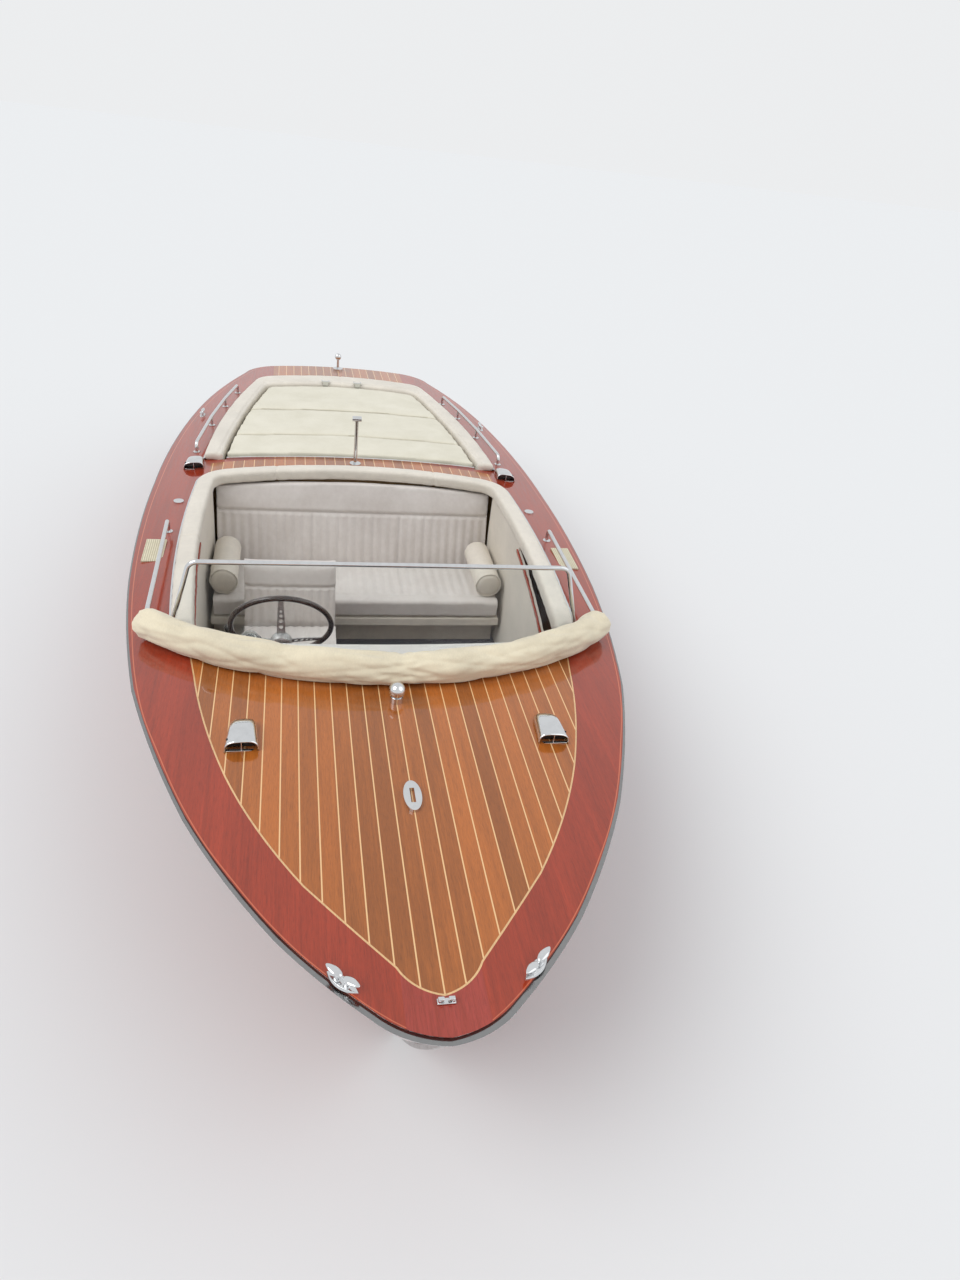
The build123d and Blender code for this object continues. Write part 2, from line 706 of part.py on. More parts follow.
def make_wheel():
    rim_plane = Plane(origin=RIM_CENTRE, z_dir=AXIS_DIR, x_dir=(0, 1, 0))
    hub_plane = Plane(origin=HUB_CENTRE, z_dir=AXIS_DIR, x_dir=(0, 1, 0))
    rim = rim_plane * Torus(WHEEL_RADIUS, RIM_RADIUS)
    save("wheel_rim", rim)
    hub = hub_plane * (Pos(0, 0, 0) * Cylinder(HUB_RADIUS, HUB_LENGTH))
    hub += hub_plane * (Pos(0, 0, HUB_LENGTH / 2) * Cylinder(HUB_RADIUS * 0.7, 16))
    run = WHEEL_RADIUS - RIM_RADIUS + 1
    drop = math.atan2(WHEEL_DISH, run)
    length = math.hypot(WHEEL_DISH, run)
    for k in range(3):
        spoke = Pos(length / 2, 0, 0) * Box(length - 4, SPOKE_WIDTH, SPOKE_THICK)
        for n in range(4):
            spoke -= Pos(length * (0.40 + 0.14 * n), 0, 0) * Cylinder(9 - 1.2 * n, 20)
        spoke = Rot(0, -math.degrees(drop), 0) * spoke
        hub += hub_plane * (Rot(0, 0, 270 + 120 * k) * spoke)
    save("wheel_hub", (hub - rim).solids().sort_by(SortBy.VOLUME)[-1])
    start = HUB_CENTRE - AXIS_DIR * (HUB_LENGTH / 2 + 1)
    stop = HUB_CENTRE - AXIS_DIR * 250
    column = rod(tuple(start), tuple(stop), COLUMN_RADIUS)
    column += rod(tuple(stop + AXIS_DIR * 135), tuple(stop + AXIS_DIR * 112), 40)
    save("steering_column", column)


def make_dash():
    z0 = deck_z(COCKPIT_FRONT) - DASH_PANEL_DEPTH - DASH_THICK
    x0 = COCKPIT_FRONT + 8
    panel = block(x0, x0 + DASH_PANEL_THICK, -DASH_PANEL_HALF, DASH_PANEL_HALF, z0, 1000)
    panel = (panel & under_deck(-DECK - GLUE)) + (panel & COCKPIT_HOLE & under_deck(-DASH_THICK - GLUE))
    start = HUB_CENTRE - AXIS_DIR * 10
    stop = HUB_CENTRE - AXIS_DIR * 300
    panel = panel - rod(tuple(start), tuple(stop), COLUMN_RADIUS + GLUE)
    save("dash_panel", panel)
    cx, cy = 1215, -490
    bowl = Pos(cx, cy, deck_z(cx, cy) + 14) * Cylinder(44, 40)
    bowl += Pos(cx, cy, deck_z(cx, cy) + 34) * Sphere(42)
    save("compass", bowl - under_deck(DASH_RISE + GLUE))
    inner = cockpit_prism(COAMING_WIDTH - 24 + PANEL_THICK + GLUE)
    box = block(760, 900, -900, -THROTTLE_FACE, 430, 560) & inner
    lever = rod((830, 1 - THROTTLE_FACE, 500), (800, -600, 640), 6) + Pos(800, -600, 650) * Sphere(17)
    save("throttle", box + lever)


# Drive train
def make_drive():
    slope = math.tan(math.radians(SHAFT_SLOPE))
    direction = Vector(1, 0, slope).normalized()
    centre = Vector(PROP_X, 0, PROP_Z)
    fore_len = (SHAFT_FORE - PROP_X) / direction.X
    shaft = rod(tuple(centre - direction * 40), tuple(centre + direction * fore_len), SHAFT_RADIUS)
    plane = Plane(origin=centre, z_dir=direction, x_dir=(0, 1, 0))
    hub = plane * Cylinder(30, 76)
    blade = Pos(0, 78, 0) * (Rot(0, 24, 0) * Cylinder(72, 6))
    blade = blade & Cylinder(PROP_RADIUS, 200)
    for k in range(BLADE_COUNT):
        hub += plane * (Rot(0, 0, 360 / BLADE_COUNT * k) * blade)
    save("propeller", hub - rod(tuple(centre - direction * 60), tuple(centre + direction * 60), SHAFT_RADIUS))
    save("propeller_shaft", shaft)
    bearing = centre + direction * 95
    strut = Plane(origin=bearing, z_dir=direction, x_dir=(0, 1, 0)) * Cylinder(SHAFT_RADIUS + 12, 80)
    leg = block(bearing.X - 32, bearing.X + 32, -7, 7, bearing.Z, -200)
    strut += leg - rod(tuple(centre), tuple(centre + direction * 200), SHAFT_RADIUS + 4)
    strut -= rod(tuple(centre), tuple(centre + direction * 300), SHAFT_RADIUS + 1.5)
    strut = strut - over_bottom(-GLUE)
    blade = block(RUDDER_X - RUDDER_AFT, RUDDER_X + RUDDER_FORE, -RUDDER_THICK / 2, RUDDER_THICK / 2, RUDDER_FOOT, RUDDER_TOP)
    rudder = blade + rod((RUDDER_X, 0, RUDDER_TOP - 20), (RUDDER_X, 0, -60), RUDDER_STOCK)
    save("rudder", rudder)
    gland = Pos(RUDDER_X, 0, -180) * Cylinder(38, 90) & BOTTOM_SEAT
    gland = gland - rod((RUDDER_X, 0, -700), (RUDDER_X, 0, 0), RUDDER_STOCK + RUDDER_CLEAR)
    save("stern_brackets", group([strut, gland]))
    low = PROP_Z + slope * (SHAFT_FORE - PROP_X)
    engine = block(ENGINE_BACK, ENGINE_FRONT, -ENGINE_HALF, ENGINE_HALF, ENGINE_BOTTOM, ENGINE_TOP)
    engine += block(ENGINE_FRONT - 10, DRIVE_FRONT, -130, 130, ENGINE_BOTTOM - 10, 60)
    engine += block(SHAFT_FORE - 30, DRIVE_FRONT, -90, 90, low - 30, ENGINE_BOTTOM)
    socket = rod((SHAFT_FORE - 40, 0, low - slope * 40), (SHAFT_FORE + 34, 0, low + slope * 34), SHAFT_RADIUS + 1)
    save("engine_block", (engine & CAVITY) - socket)
    beds = []
    for y in (-ENGINE_HALF + 60, ENGINE_HALF - 60):
        beds.append(block(-2500, AFT_BULKHEAD - 20, y - 22, y + 22, -400, ENGINE_BOTTOM - GLUE) & CAVITY)
    save("engine_bearers", group(beds))


# Windshield and canvas
def make_windshield():
    def sector(half, end_x, bow_x, z, thick):
        outer = arc((end_x, half, z), (bow_x, 0, z), (end_x, -half, z))
        inner = arc((end_x, -half + thick, z), (bow_x - thick, 0, z), (end_x, half - thick, z))
        return ring_face([
            outer,
            line((end_x, -half, z), (end_x, -half + thick, z)),
            inner,
            line((end_x, half - thick, z), (end_x, half, z)),
        ])
    low = sector(GLASS_BASE_HALF, GLASS_BASE_END, GLASS_BASE_BOW, GLASS_BASE_Z, GLASS_THICK)
    high = sector(GLASS_TOP_HALF, GLASS_TOP_X - 4, GLASS_TOP_X + 8, GLASS_TOP_Z, GLASS_THICK)
    glass = loft([low, high], ruled=True)
    glass = glass - under_deck(0.5)
    save("windshield_glass", glass)
    base_z = deck_z(GLASS_BASE_END, GLASS_BASE_HALF) + 1
    points = [
        (GLASS_BASE_END - 12, GLASS_BASE_HALF - 8, base_z),
        (GLASS_TOP_X - 2, GLASS_TOP_HALF, GLASS_TOP_Z),
        (GLASS_TOP_X - 2, -GLASS_TOP_HALF, GLASS_TOP_Z),
        (GLASS_BASE_END - 12, -GLASS_BASE_HALF + 8, base_z),
    ]
    rail = swept(points, RAIL_RADIUS, 40)
    save("windshield_frame", (rail - glass - DECK_SEAT - under_deck(COAMING_RISE + 0.3) & block(0, 3000, -1200, 1200, 0, 2000)))


def make_roll():
    end_z = deck_z(ROLL_END_X, ROLL_HALF) + ROLL_RADIUS - ROLL_SINK
    mid_z = deck_z(ROLL_MID_X) + ROLL_RADIUS - ROLL_SINK
    path = arc((ROLL_END_X, ROLL_HALF, end_z), (ROLL_MID_X, 0, mid_z), (ROLL_END_X, -ROLL_HALF, end_z))
    start = Plane(origin=path @ 0, z_dir=path % 0)
    roll = sweep(start * Circle(ROLL_RADIUS), path=path)
    save("canvas_roll", roll - under_deck(GLUE))


# Deck fittings
def seated(shape, rise=0):
    return shape - under_deck(rise + GLUE)


def cowl_shell(inset, foot):
    aft, fore, top = COWL_AFT + inset, COWL_FORE, COWL_HEIGHT - inset
    half, aft_half = COWL_HALF - inset, COWL_AFT_HALF - inset
    side = ring_face([
        line((aft, 0, -foot), (aft, 0, 4)),
        arc((aft, 0, 4), (aft + 20, 0, top * 0.76), (aft + 68, 0, top)),
        line((aft + 68, 0, top), (fore, 0, top - 6)),
        line((fore, 0, top - 6), (fore, 0, -foot)),
        line((fore, 0, -foot), (aft, 0, -foot)),
    ])
    front = ring_face([
        line((aft, -half, -foot), (aft, -half, top - 24)),
        arc((aft, -half, top - 24), (aft, -half + 8, top - 8), (aft, -half + 26, top)),
        line((aft, -half + 26, top), (aft, half - 26, top)),
        arc((aft, half - 26, top), (aft, half - 8, top - 8), (aft, half, top - 24)),
        line((aft, half, top - 24), (aft, half, -foot)),
        line((aft, half, -foot), (aft, -half, -foot)),
    ])
    plan = ring_face([
        line((aft, -aft_half), (fore, -half)),
        line((fore, -half), (fore, half)),
        line((fore, half), (aft, aft_half)),
        line((aft, aft_half), (aft, -aft_half)),
    ])
    plan = fillet(plan.vertices().sort_by(Axis.X)[:2], radius=22 - inset)
    body = extrude(side, amount=COWL_HALF, dir=(0, 1, 0), both=True)
    return body & extrude(front, amount=fore - aft, dir=(1, 0, 0)) & prism(plan, -60, 80)


def cowl(x, y):
    mouth = block(-20, COWL_FORE + 20, -COWL_HALF, COWL_HALF, 4, COWL_HEIGHT)
    hollow = cowl_shell(COWL_WALL, 30)
    hollow = (hollow + Pos(9, 0, 0) * hollow) & mouth
    rib = block(-20, COWL_FORE - 12, -1.5, 1.5, 0, COWL_HEIGHT - 4)
    return seated(Pos(x, y, deck_z(x, y)) * (cowl_shell(0, 15) - (hollow - rib)))


def make_cowls():
    places = [(1785, -495), (1785, 495), (-665, -850), (-665, 850)]
    save("vent_cowls", group([cowl(x, y) for x, y in places]))


def leaf_plan(half_long, half_wide):
    fore = arc((-half_long, 0), (0, half_wide), (half_long, 0))
    return ring_face([fore, arc((half_long, 0), (0, -half_wide), (-half_long, 0))])


def cleat(x, y, turn):
    foot = prism(leaf_plan(CLEAT_HALF, CLEAT_FOOT_HALF), -8, CLEAT_FOOT)
    half = (CLEAT_HALF + 4 - CLEAT_GAP) / 2
    side = ring_face([
        arc((-half, 0, -2), (0, 0, 9), (half, 0, -2)),
        arc((half, 0, -2), (0, 0, -9), (-half, 0, -2)),
    ])
    horn = prism(leaf_plan(half, CLEAT_HORN_HALF), -30, 30) & extrude(side, amount=40, dir=(0, 1, 0), both=True)
    for side_sign in (-1, 1):
        centre = side_sign * (CLEAT_GAP + half)
        foot += Pos(centre, 0, CLEAT_HEIGHT) * horn
        foot += Pos(centre - side_sign * half * 0.35, 0, CLEAT_HEIGHT / 2) * Cylinder(7, CLEAT_HEIGHT)
    z = deck_z(x, y)
    return seated(Pos(x, y, z) * (Rot(0, 0, turn) * foot))


def make_fittings():
    places = [(2700, 232, -47), (2700, -232, 47), (-1600, 885, 5), (-1600, -885, -5)]
    save("cleats", group([cleat(*place) for place in places]))
    z = deck_z(1612)
    ball = Pos(1612, 0, z + 8) * Cylinder(22, 30) + Pos(1612, 0, z + 46) * Sphere(28)
    save("deck_light", seated(ball))
    z = deck_z(2090)
    plate = extrude(Ellipse(62, 27), amount=22)
    plate -= Pos(0, 0, 16) * Box(60, 14, 20)
    save("foredeck_fitting", seated(Pos(2090, 0, z - 10) * plate))
    z = deck_z(2783)
    chock = block(2768, 2796, -28, 28, z - 15, z + 14)
    save("bow_chock", seated(chock))
    pads = [block(300, 500, s * 925 - 42, s * 925 + 42, 700, deck_z(400, 925) + 9) for s in (-1, 1)]
    save("step_pads", group([seated(p) for p in pads]))
    caps = [Pos(-155, s * 880, deck_z(-155, 880)) * Cylinder(24, 16) for s in (-1, 1)]
    save("deck_caps", group([seated(c) for c in caps]))
    z = deck_z(MAST_X)
    mast = Pos(MAST_X, 0, z + 2) * Cylinder(30, 16) + Pos(MAST_X, 0, z + MAST_HEIGHT / 2) * Cylinder(10, MAST_HEIGHT)
    mast += Pos(MAST_X, 0, z + MAST_HEIGHT) * (Rot(90, 0, 0) * Cylinder(14, 48))
    save("light_mast", seated(mast))
    z = deck_z(-2800)
    stern = Pos(-2790, 0, z + 4) * Cylinder(36, 24) + Pos(-2790, 0, z + 50) * Cylinder(9, 90)
    stern += Pos(-2790, 0, z + 102) * Sphere(24)
    save("stern_fitting", seated(stern))


def rail_bar(points, posts, radius, rise):
    path = [(x, y, deck_z(x, y) + rise) for x, y in points]
    first, last = path[0], path[-1]
    low = (first[0], first[1], first[2] - rise - 12)
    end = (last[0], last[1], last[2] - rise - 12)
    bar = swept([low] + path + [end], radius, 26)
    for x, y in posts:
        z = deck_z(x, y)
        bar += Pos(x, y, z) * Cylinder(19, 12)
    for x, y in posts[1:-1]:
        bar += rod((x, y, deck_z(x, y) - 10), (x, y, deck_z(x, y) + rise - 1), radius - 1)
    return seated(bar)


def make_rails():
    ends = [(200, 888), (1045, 868)]
    side_rail = rail_bar(ends, ends, 9, 62)
    rail = rail_bar(PAD_RAIL, PAD_RAIL, 9, 58)
    save("grab_rails", group(both(side_rail) + both(rail)))


def make_exhausts():
    stern_x = -HALF_LENGTH + TRANSOM_RAKE * (TRANSOM_TOP - PIPE_Z)
    pipes = []
    for y in (-PIPE_Y, PIPE_Y):
        pipe = rod((stern_x + 200, y, PIPE_Z), (stern_x - PIPE_PROUD, y, PIPE_Z), PIPE_RADIUS)
        pipe -= rod((stern_x + 300, y, PIPE_Z), (stern_x - 300, y, PIPE_Z), PIPE_RADIUS - PIPE_WALL)
        pipes.append(pipe - plan_body(-GLUE))
    save("exhaust_pipes", group(pipes))


def main():
    make_hull()
    make_deck()
    make_rub_rail()
    make_stem_band()
    make_spray_rails()
    make_coamings()
    make_hatch()
    make_hinges()
    make_inside()
    make_panels()
    make_bench()
    make_helm_seat()
    make_wheel()
    make_dash()
    make_drive()
    make_windshield()
    make_roll()
    make_cowls()
    make_fittings()
    make_rails()
    make_exhausts()


main()
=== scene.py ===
import math

import bmesh
import bpy
import mathutils.noise
from mathutils import Matrix, Vector


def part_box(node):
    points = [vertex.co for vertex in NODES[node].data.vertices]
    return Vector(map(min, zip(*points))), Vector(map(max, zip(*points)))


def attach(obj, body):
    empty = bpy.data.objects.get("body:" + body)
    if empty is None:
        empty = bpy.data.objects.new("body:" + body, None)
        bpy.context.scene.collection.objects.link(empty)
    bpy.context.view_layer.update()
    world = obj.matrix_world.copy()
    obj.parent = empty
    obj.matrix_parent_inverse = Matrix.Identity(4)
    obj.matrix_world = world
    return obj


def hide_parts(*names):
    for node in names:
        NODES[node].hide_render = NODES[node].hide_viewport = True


bl_info = {
    "name": "Varnished Runabout Dressing",
    "version": (1, 0, 0),
    "blender": (4, 5, 0),
    "location": "View3D > Sidebar > Runabout",
    "description": "Adds upholstery, timber finishes and light to the wooden runabout",
    "category": "Object",
}

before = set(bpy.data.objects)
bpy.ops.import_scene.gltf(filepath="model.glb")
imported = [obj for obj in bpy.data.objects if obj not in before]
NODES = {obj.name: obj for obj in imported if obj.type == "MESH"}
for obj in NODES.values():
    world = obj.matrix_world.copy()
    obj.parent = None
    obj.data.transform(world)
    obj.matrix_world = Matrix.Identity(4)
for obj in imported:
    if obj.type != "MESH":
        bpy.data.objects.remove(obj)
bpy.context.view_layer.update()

# Deck in metres: sheer line, crown by station and half breadth by station
SHEER_MID = 0.7528
SHEER_RISE = 0.0566
CAMBER_RADIUS = 8.363
CROWN = [
    (-2.95, 0.050), (-2.25, 0.056), (-1.3, 0.062), (-0.3, 0.063), (0.7, 0.058), (1.6, 0.041), (2.3, 0.018),
    (2.95, -0.003),
]
DECK_EDGE = [
    (-2.85, 0.50), (-2.80, 0.585), (-2.72, 0.640), (-2.60, 0.684), (-2.25, 0.802), (-1.70, 0.921), (-1.10, 0.994),
    (-0.40, 1.025), (0.20, 1.020), (0.70, 0.989), (1.10, 0.938), (1.50, 0.862), (1.83, 0.757), (2.13, 0.638),
    (2.38, 0.502), (2.56, 0.383), (2.69, 0.272), (2.795, 0.165), (2.852, 0.084),
]
DECK_REACH = 1.1

# Camera of the photo, in its own pixels
PHOTO_HEIGHT = 1280
FOCAL_PIXELS = 887.0
SENSOR = 36

# Varnish and fillings
VARNISH_IOR = 1.52
VARNISH_ROUGHNESS = 0.03
TIMBER_SPECULAR = 0.12
RIB_PITCH = 0.0085
FILLING_FRAMES = 20
MERGE = 0.00002


# Node helpers
def join(tree, source, target):
    tree.links.new(source, target)


def put(tree, kind, **values):
    node = tree.nodes.new(kind)
    for name, value in values.items():
        setattr(node, name, value)
    return node


def feed(tree, socket, value):
    if isinstance(value, bpy.types.NodeSocket):
        tree.links.new(value, socket)
    else:
        socket.default_value = value


def calc(tree, operation, *values):
    node = put(tree, "ShaderNodeMath", operation=operation)
    for socket, value in zip(node.inputs, values):
        feed(tree, socket, value)
    return node.outputs[0]


def times(tree, one, two):
    return calc(tree, "MULTIPLY", one, two)


def plus(tree, one, two):
    return calc(tree, "ADD", one, two)


def minus(tree, one, two):
    return calc(tree, "SUBTRACT", one, two)


def mixture(tree, one, two, share):
    return plus(tree, times(tree, one, share), times(tree, two, 1 - share))


def blend_colour(tree, factor, one, two, mode="MIX"):
    node = put(tree, "ShaderNodeMix", data_type="RGBA", blend_type=mode)
    feed(tree, node.inputs[0], factor)
    feed(tree, node.inputs[6], one)
    feed(tree, node.inputs[7], two)
    return node.outputs[2]


def span(tree, value, low, high, to_low=0.0, to_high=1.0):
    node = put(tree, "ShaderNodeMapRange")
    feed(tree, node.inputs[0], value)
    for socket, number in zip(list(node.inputs)[1:5], (low, high, to_low, to_high)):
        feed(tree, socket, number)
    return node.outputs[0]


def noise(tree, vector, scale, detail=4.0, roughness=0.55, distortion=0.0):
    node = put(tree, "ShaderNodeTexNoise")
    feed(tree, node.inputs["Vector"], vector)
    for name, value in (("Scale", scale), ("Detail", detail), ("Roughness", roughness), ("Distortion", distortion)):
        feed(tree, node.inputs[name], value)
    return node.outputs[0]


def stretched(tree, vector, scale):
    node = put(tree, "ShaderNodeMapping")
    feed(tree, node.inputs["Vector"], vector)
    node.inputs["Scale"].default_value = scale
    return node.outputs[0]


def new_group(name, inputs, outputs):
    tree = bpy.data.node_groups.new(name, "ShaderNodeTree")
    for label, kind, default in inputs:
        socket = tree.interface.new_socket(label, in_out="INPUT", socket_type=kind)
        if default is not None:
            socket.default_value = default
    for label, kind in outputs:
        tree.interface.new_socket(label, in_out="OUTPUT", socket_type=kind)
    source = tree.nodes.new("NodeGroupInput")
    target = tree.nodes.new("NodeGroupOutput")
    return tree, source.outputs, target.inputs


def use_group(tree, name, **values):
    node = put(tree, "ShaderNodeGroup")
    node.node_tree = bpy.data.node_groups[name]
    for label, value in values.items():
        feed(tree, node.inputs[label.replace("_", " ")], value)
    return node.outputs


FLOAT = "NodeSocketFloat"
COLOUR = "NodeSocketColor"
VECTOR = "NodeSocketVector"


# Shared effects
def build_wood_group():
    tree, i, o = new_group(
        "Timber Figure",
        [("Position", VECTOR, None), ("Light", COLOUR, None), ("Dark", COLOUR, None), ("Tone", FLOAT, 0.5)],
        [("Colour", COLOUR), ("Roughness", FLOAT), ("Height", FLOAT)],
    )
    shift = put(tree, "ShaderNodeVectorMath", operation="ADD")
    feed(tree, shift.inputs[0], i["Position"])
    combined = put(tree, "ShaderNodeCombineXYZ")
    feed(tree, combined.inputs[0], times(tree, i["Tone"], 7.3))
    feed(tree, combined.inputs[2], times(tree, i["Tone"], 3.1))
    feed(tree, shift.inputs[1], combined.outputs[0])
    place = shift.outputs[0]
    broad = noise(tree, stretched(tree, place, (0.7, 9.0, 9.0)), 1.6, 5.0, 0.6, 0.8)
    stripe = noise(tree, stretched(tree, place, (1.3, 55.0, 55.0)), 2.2, 4.0, 0.6, 0.3)
    pores = noise(tree, stretched(tree, place, (14.0, 420.0, 420.0)), 2.0, 2.0, 0.6, 0.0)
    mixed = mixture(tree, broad, stripe, 0.55)
    toned = plus(tree, mixed, times(tree, minus(tree, i["Tone"], 0.5), 0.34))
    base = blend_colour(tree, span(tree, toned, 0.33, 0.68), i["Dark"], i["Light"])
    fine = span(tree, pores, 0.30, 0.52, 0.62, 1.0)
    shade = put(tree, "ShaderNodeCombineColor")
    for socket in shade.inputs[:3]:
        feed(tree, socket, fine)
    feed(tree, o["Colour"], blend_colour(tree, 0.8, base, shade.outputs[0], "MULTIPLY"))
    feed(tree, o["Roughness"], span(tree, stripe, 0.3, 0.7, 0.30, 0.46))
    feed(tree, o["Height"], mixture(tree, pores, stripe, 0.5))


def build_plank_group():
    tree, i, o = new_group(
        "Plank Lines",
        [("Across", FLOAT, None), ("Pitch", FLOAT, 0.054), ("Seam", FLOAT, 0.004)],
        [("Line", FLOAT), ("Tone", FLOAT)],
    )
    ratio = calc(tree, "DIVIDE", i["Across"], i["Pitch"])
    near = calc(tree, "ABSOLUTE", minus(tree, calc(tree, "FRACT", plus(tree, ratio, 0.5)), 0.5))
    gap = times(tree, near, i["Pitch"])
    half = times(tree, i["Seam"], 0.5)
    feed(tree, o["Line"], span(tree, minus(tree, gap, half), 0.0, 0.0006, 1.0, 0.0))
    chance = put(tree, "ShaderNodeTexWhiteNoise", noise_dimensions="1D")
    feed(tree, chance.inputs["W"], calc(tree, "FLOOR", ratio))
    feed(tree, o["Tone"], chance.outputs[0])


def build_hide_group():
    tree, i, o = new_group(
        "Hide Grain",
        [("Position", VECTOR, None), ("Base", COLOUR, None), ("Worn", COLOUR, None), ("Scale", FLOAT, 700.0)],
        [("Colour", COLOUR), ("Roughness", FLOAT), ("Height", FLOAT)],
    )
    cell = put(tree, "ShaderNodeTexVoronoi", feature="DISTANCE_TO_EDGE")
    feed(tree, cell.inputs["Vector"], i["Position"])
    feed(tree, cell.inputs["Scale"], i["Scale"])
    crease = span(tree, cell.outputs[0], 0.0, 0.18)
    cloud = noise(tree, i["Position"], 5.0, 4.0, 0.6)
    patch = noise(tree, i["Position"], 38.0, 5.0, 0.65)
    stain = span(tree, mixture(tree, cloud, patch, 0.6), 0.38, 0.66)
    feed(tree, o["Colour"], blend_colour(tree, stain, i["Worn"], i["Base"]))
    feed(tree, o["Roughness"], span(tree, patch, 0.3, 0.7, 0.42, 0.62))
    feed(tree, o["Height"], plus(tree, crease, times(tree, patch, 0.6)))


def build_weave_group():
    tree, i, o = new_group(
        "Cloth Weave",
        [("Position", VECTOR, None), ("Base", COLOUR, None), ("Shade", COLOUR, None), ("Threads", FLOAT, 900.0)],
        [("Colour", COLOUR), ("Roughness", FLOAT), ("Height", FLOAT)],
    )
    parts = put(tree, "ShaderNodeSeparateXYZ")
    feed(tree, parts.inputs[0], i["Position"])
    pitch = times(tree, i["Threads"], 3.14)
    warp, weft = (calc(tree, "SINE", times(tree, parts.outputs[k], pitch)) for k in (0, 1))
    cross = times(tree, plus(tree, times(tree, warp, weft), 1.0), 0.5)
    cloud = noise(tree, i["Position"], 6.0, 5.0, 0.6)
    slub = noise(tree, stretched(tree, i["Position"], (60.0, 300.0, 300.0)), 1.0, 3.0, 0.6)
    blot = span(tree, mixture(tree, cloud, slub, 0.7), 0.36, 0.64)
    feed(tree, o["Colour"], blend_colour(tree, blot, i["Shade"], i["Base"]))
    feed(tree, o["Roughness"], span(tree, slub, 0.3, 0.7, 0.78, 0.95))
    feed(tree, o["Height"], plus(tree, cross, times(tree, slub, 0.5)))


def build_smear_group():
    tree, i, o = new_group(
        "Handling Marks",
        [("Position", VECTOR, None), ("Low", FLOAT, 0.05), ("High", FLOAT, 0.3), ("Scale", FLOAT, 30.0)],
        [("Roughness", FLOAT), ("Mask", FLOAT)],
    )
    cloud = noise(tree, i["Position"], i["Scale"], 5.0, 0.62, 0.4)
    fine = noise(tree, i["Position"], times(tree, i["Scale"], 9.0), 3.0, 0.6)
    mask = span(tree, mixture(tree, cloud, fine, 0.7), 0.42, 0.66)
    feed(tree, o["Mask"], mask)
    feed(tree, o["Roughness"], plus(tree, i["Low"], times(tree, mask, minus(tree, i["High"], i["Low"]))))


# Materials
def new_material(name):
    material = bpy.data.materials.new(name)
    material.use_nodes = True
    tree = material.node_tree
    tree.nodes.clear()
    shader = put(tree, "ShaderNodeBsdfPrincipled")
    output = put(tree, "ShaderNodeOutputMaterial")
    join(tree, shader.outputs[0], output.inputs[0])
    place = put(tree, "ShaderNodeTexCoord").outputs["Object"]
    return material, tree, shader, place


def bump(tree, shader, height, distance, strength=0.5):
    node = put(tree, "ShaderNodeBump")
    node.inputs["Strength"].default_value = strength
    node.inputs["Distance"].default_value = distance
    feed(tree, node.inputs["Height"], height)
    join(tree, node.outputs[0], shader.inputs["Normal"])


def surface(tree, shader, colour, roughness):
    join(tree, colour, shader.inputs["Base Color"])
    join(tree, roughness, shader.inputs["Roughness"])


def fix(shader, **values):
    for label, value in values.items():
        shader.inputs[label.replace("_", " ")].default_value = value


def varnish(shader, gloss=1.0):
    fix(
        shader, Coat_Weight=gloss, Coat_Roughness=VARNISH_ROUGHNESS if gloss > 0.5 else 0.3, Coat_IOR=VARNISH_IOR,
        Specular_IOR_Level=TIMBER_SPECULAR)


def rgb(value):
    return (value[0], value[1], value[2], 1.0)


def timber(name, light, dark, gloss=1.0, lines=None, seam=(0.80, 0.50, 0.22)):
    material, tree, shader, place = new_material(name)
    tone = 0.5
    line = None
    if lines:
        axis, pitch, width = lines
        parts = put(tree, "ShaderNodeSeparateXYZ")
        join(tree, place, parts.inputs[0])
        across = parts.outputs[axis]
        if axis == "Z":
            across = minus(tree, across, times(tree, parts.outputs["X"], SHEER_RISE))
        planks = use_group(tree, "Plank Lines", Across=across, Pitch=pitch, Seam=width)
        line, tone = planks["Line"], planks["Tone"]
    figure = use_group(tree, "Timber Figure", Position=place, Light=rgb(light), Dark=rgb(dark), Tone=tone)
    colour = figure["Colour"]
    height = figure["Height"]
    if line is not None:
        colour = blend_colour(tree, line, colour, rgb(seam))
        height = minus(tree, times(tree, height, 0.4), times(tree, line, 0.7))
    surface(tree, shader, colour, figure["Roughness"])
    varnish(shader, gloss)
    bump(tree, shader, height, 0.0004, 0.35)
    return material


def edge_line(tree, place, inside, width):
    parts = put(tree, "ShaderNodeSeparateXYZ")
    join(tree, place, parts.inputs[0])
    outline = put(tree, "ShaderNodeFloatCurve")
    stern, bow = DECK_EDGE[0][0], DECK_EDGE[-1][0]
    feed(tree, outline.inputs["Value"], span(tree, parts.outputs["X"], stern, bow))
    curve = outline.mapping.curves[0]
    points = [((x - stern) / (bow - stern), y / DECK_REACH) for x, y in DECK_EDGE]
    curve.points[0].location = points[0]
    curve.points[1].location = points[-1]
    for point in points[1:-1]:
        curve.points.new(*point)
    outline.mapping.update()
    half = minus(tree, times(tree, outline.outputs[0], DECK_REACH), inside)
    away = calc(tree, "ABSOLUTE", minus(tree, calc(tree, "ABSOLUTE", parts.outputs["Y"]), half))
    return span(tree, away, width * 0.5, width * 0.5 + 0.0012, 1.0, 0.0)


def deck_board(name, light, dark, seam):
    material, tree, shader, place = new_material(name)
    figure = use_group(tree, "Timber Figure", Position=place, Light=rgb(light), Dark=rgb(dark), Tone=0.5)
    line = edge_line(tree, place, 0.021, 0.0025)
    lined = blend_colour(tree, times(tree, line, 0.75), figure["Colour"], rgb(seam))
    surface(tree, shader, lined, figure["Roughness"])
    varnish(shader)
    bump(tree, shader, figure["Height"], 0.0004, 0.3)
    return material


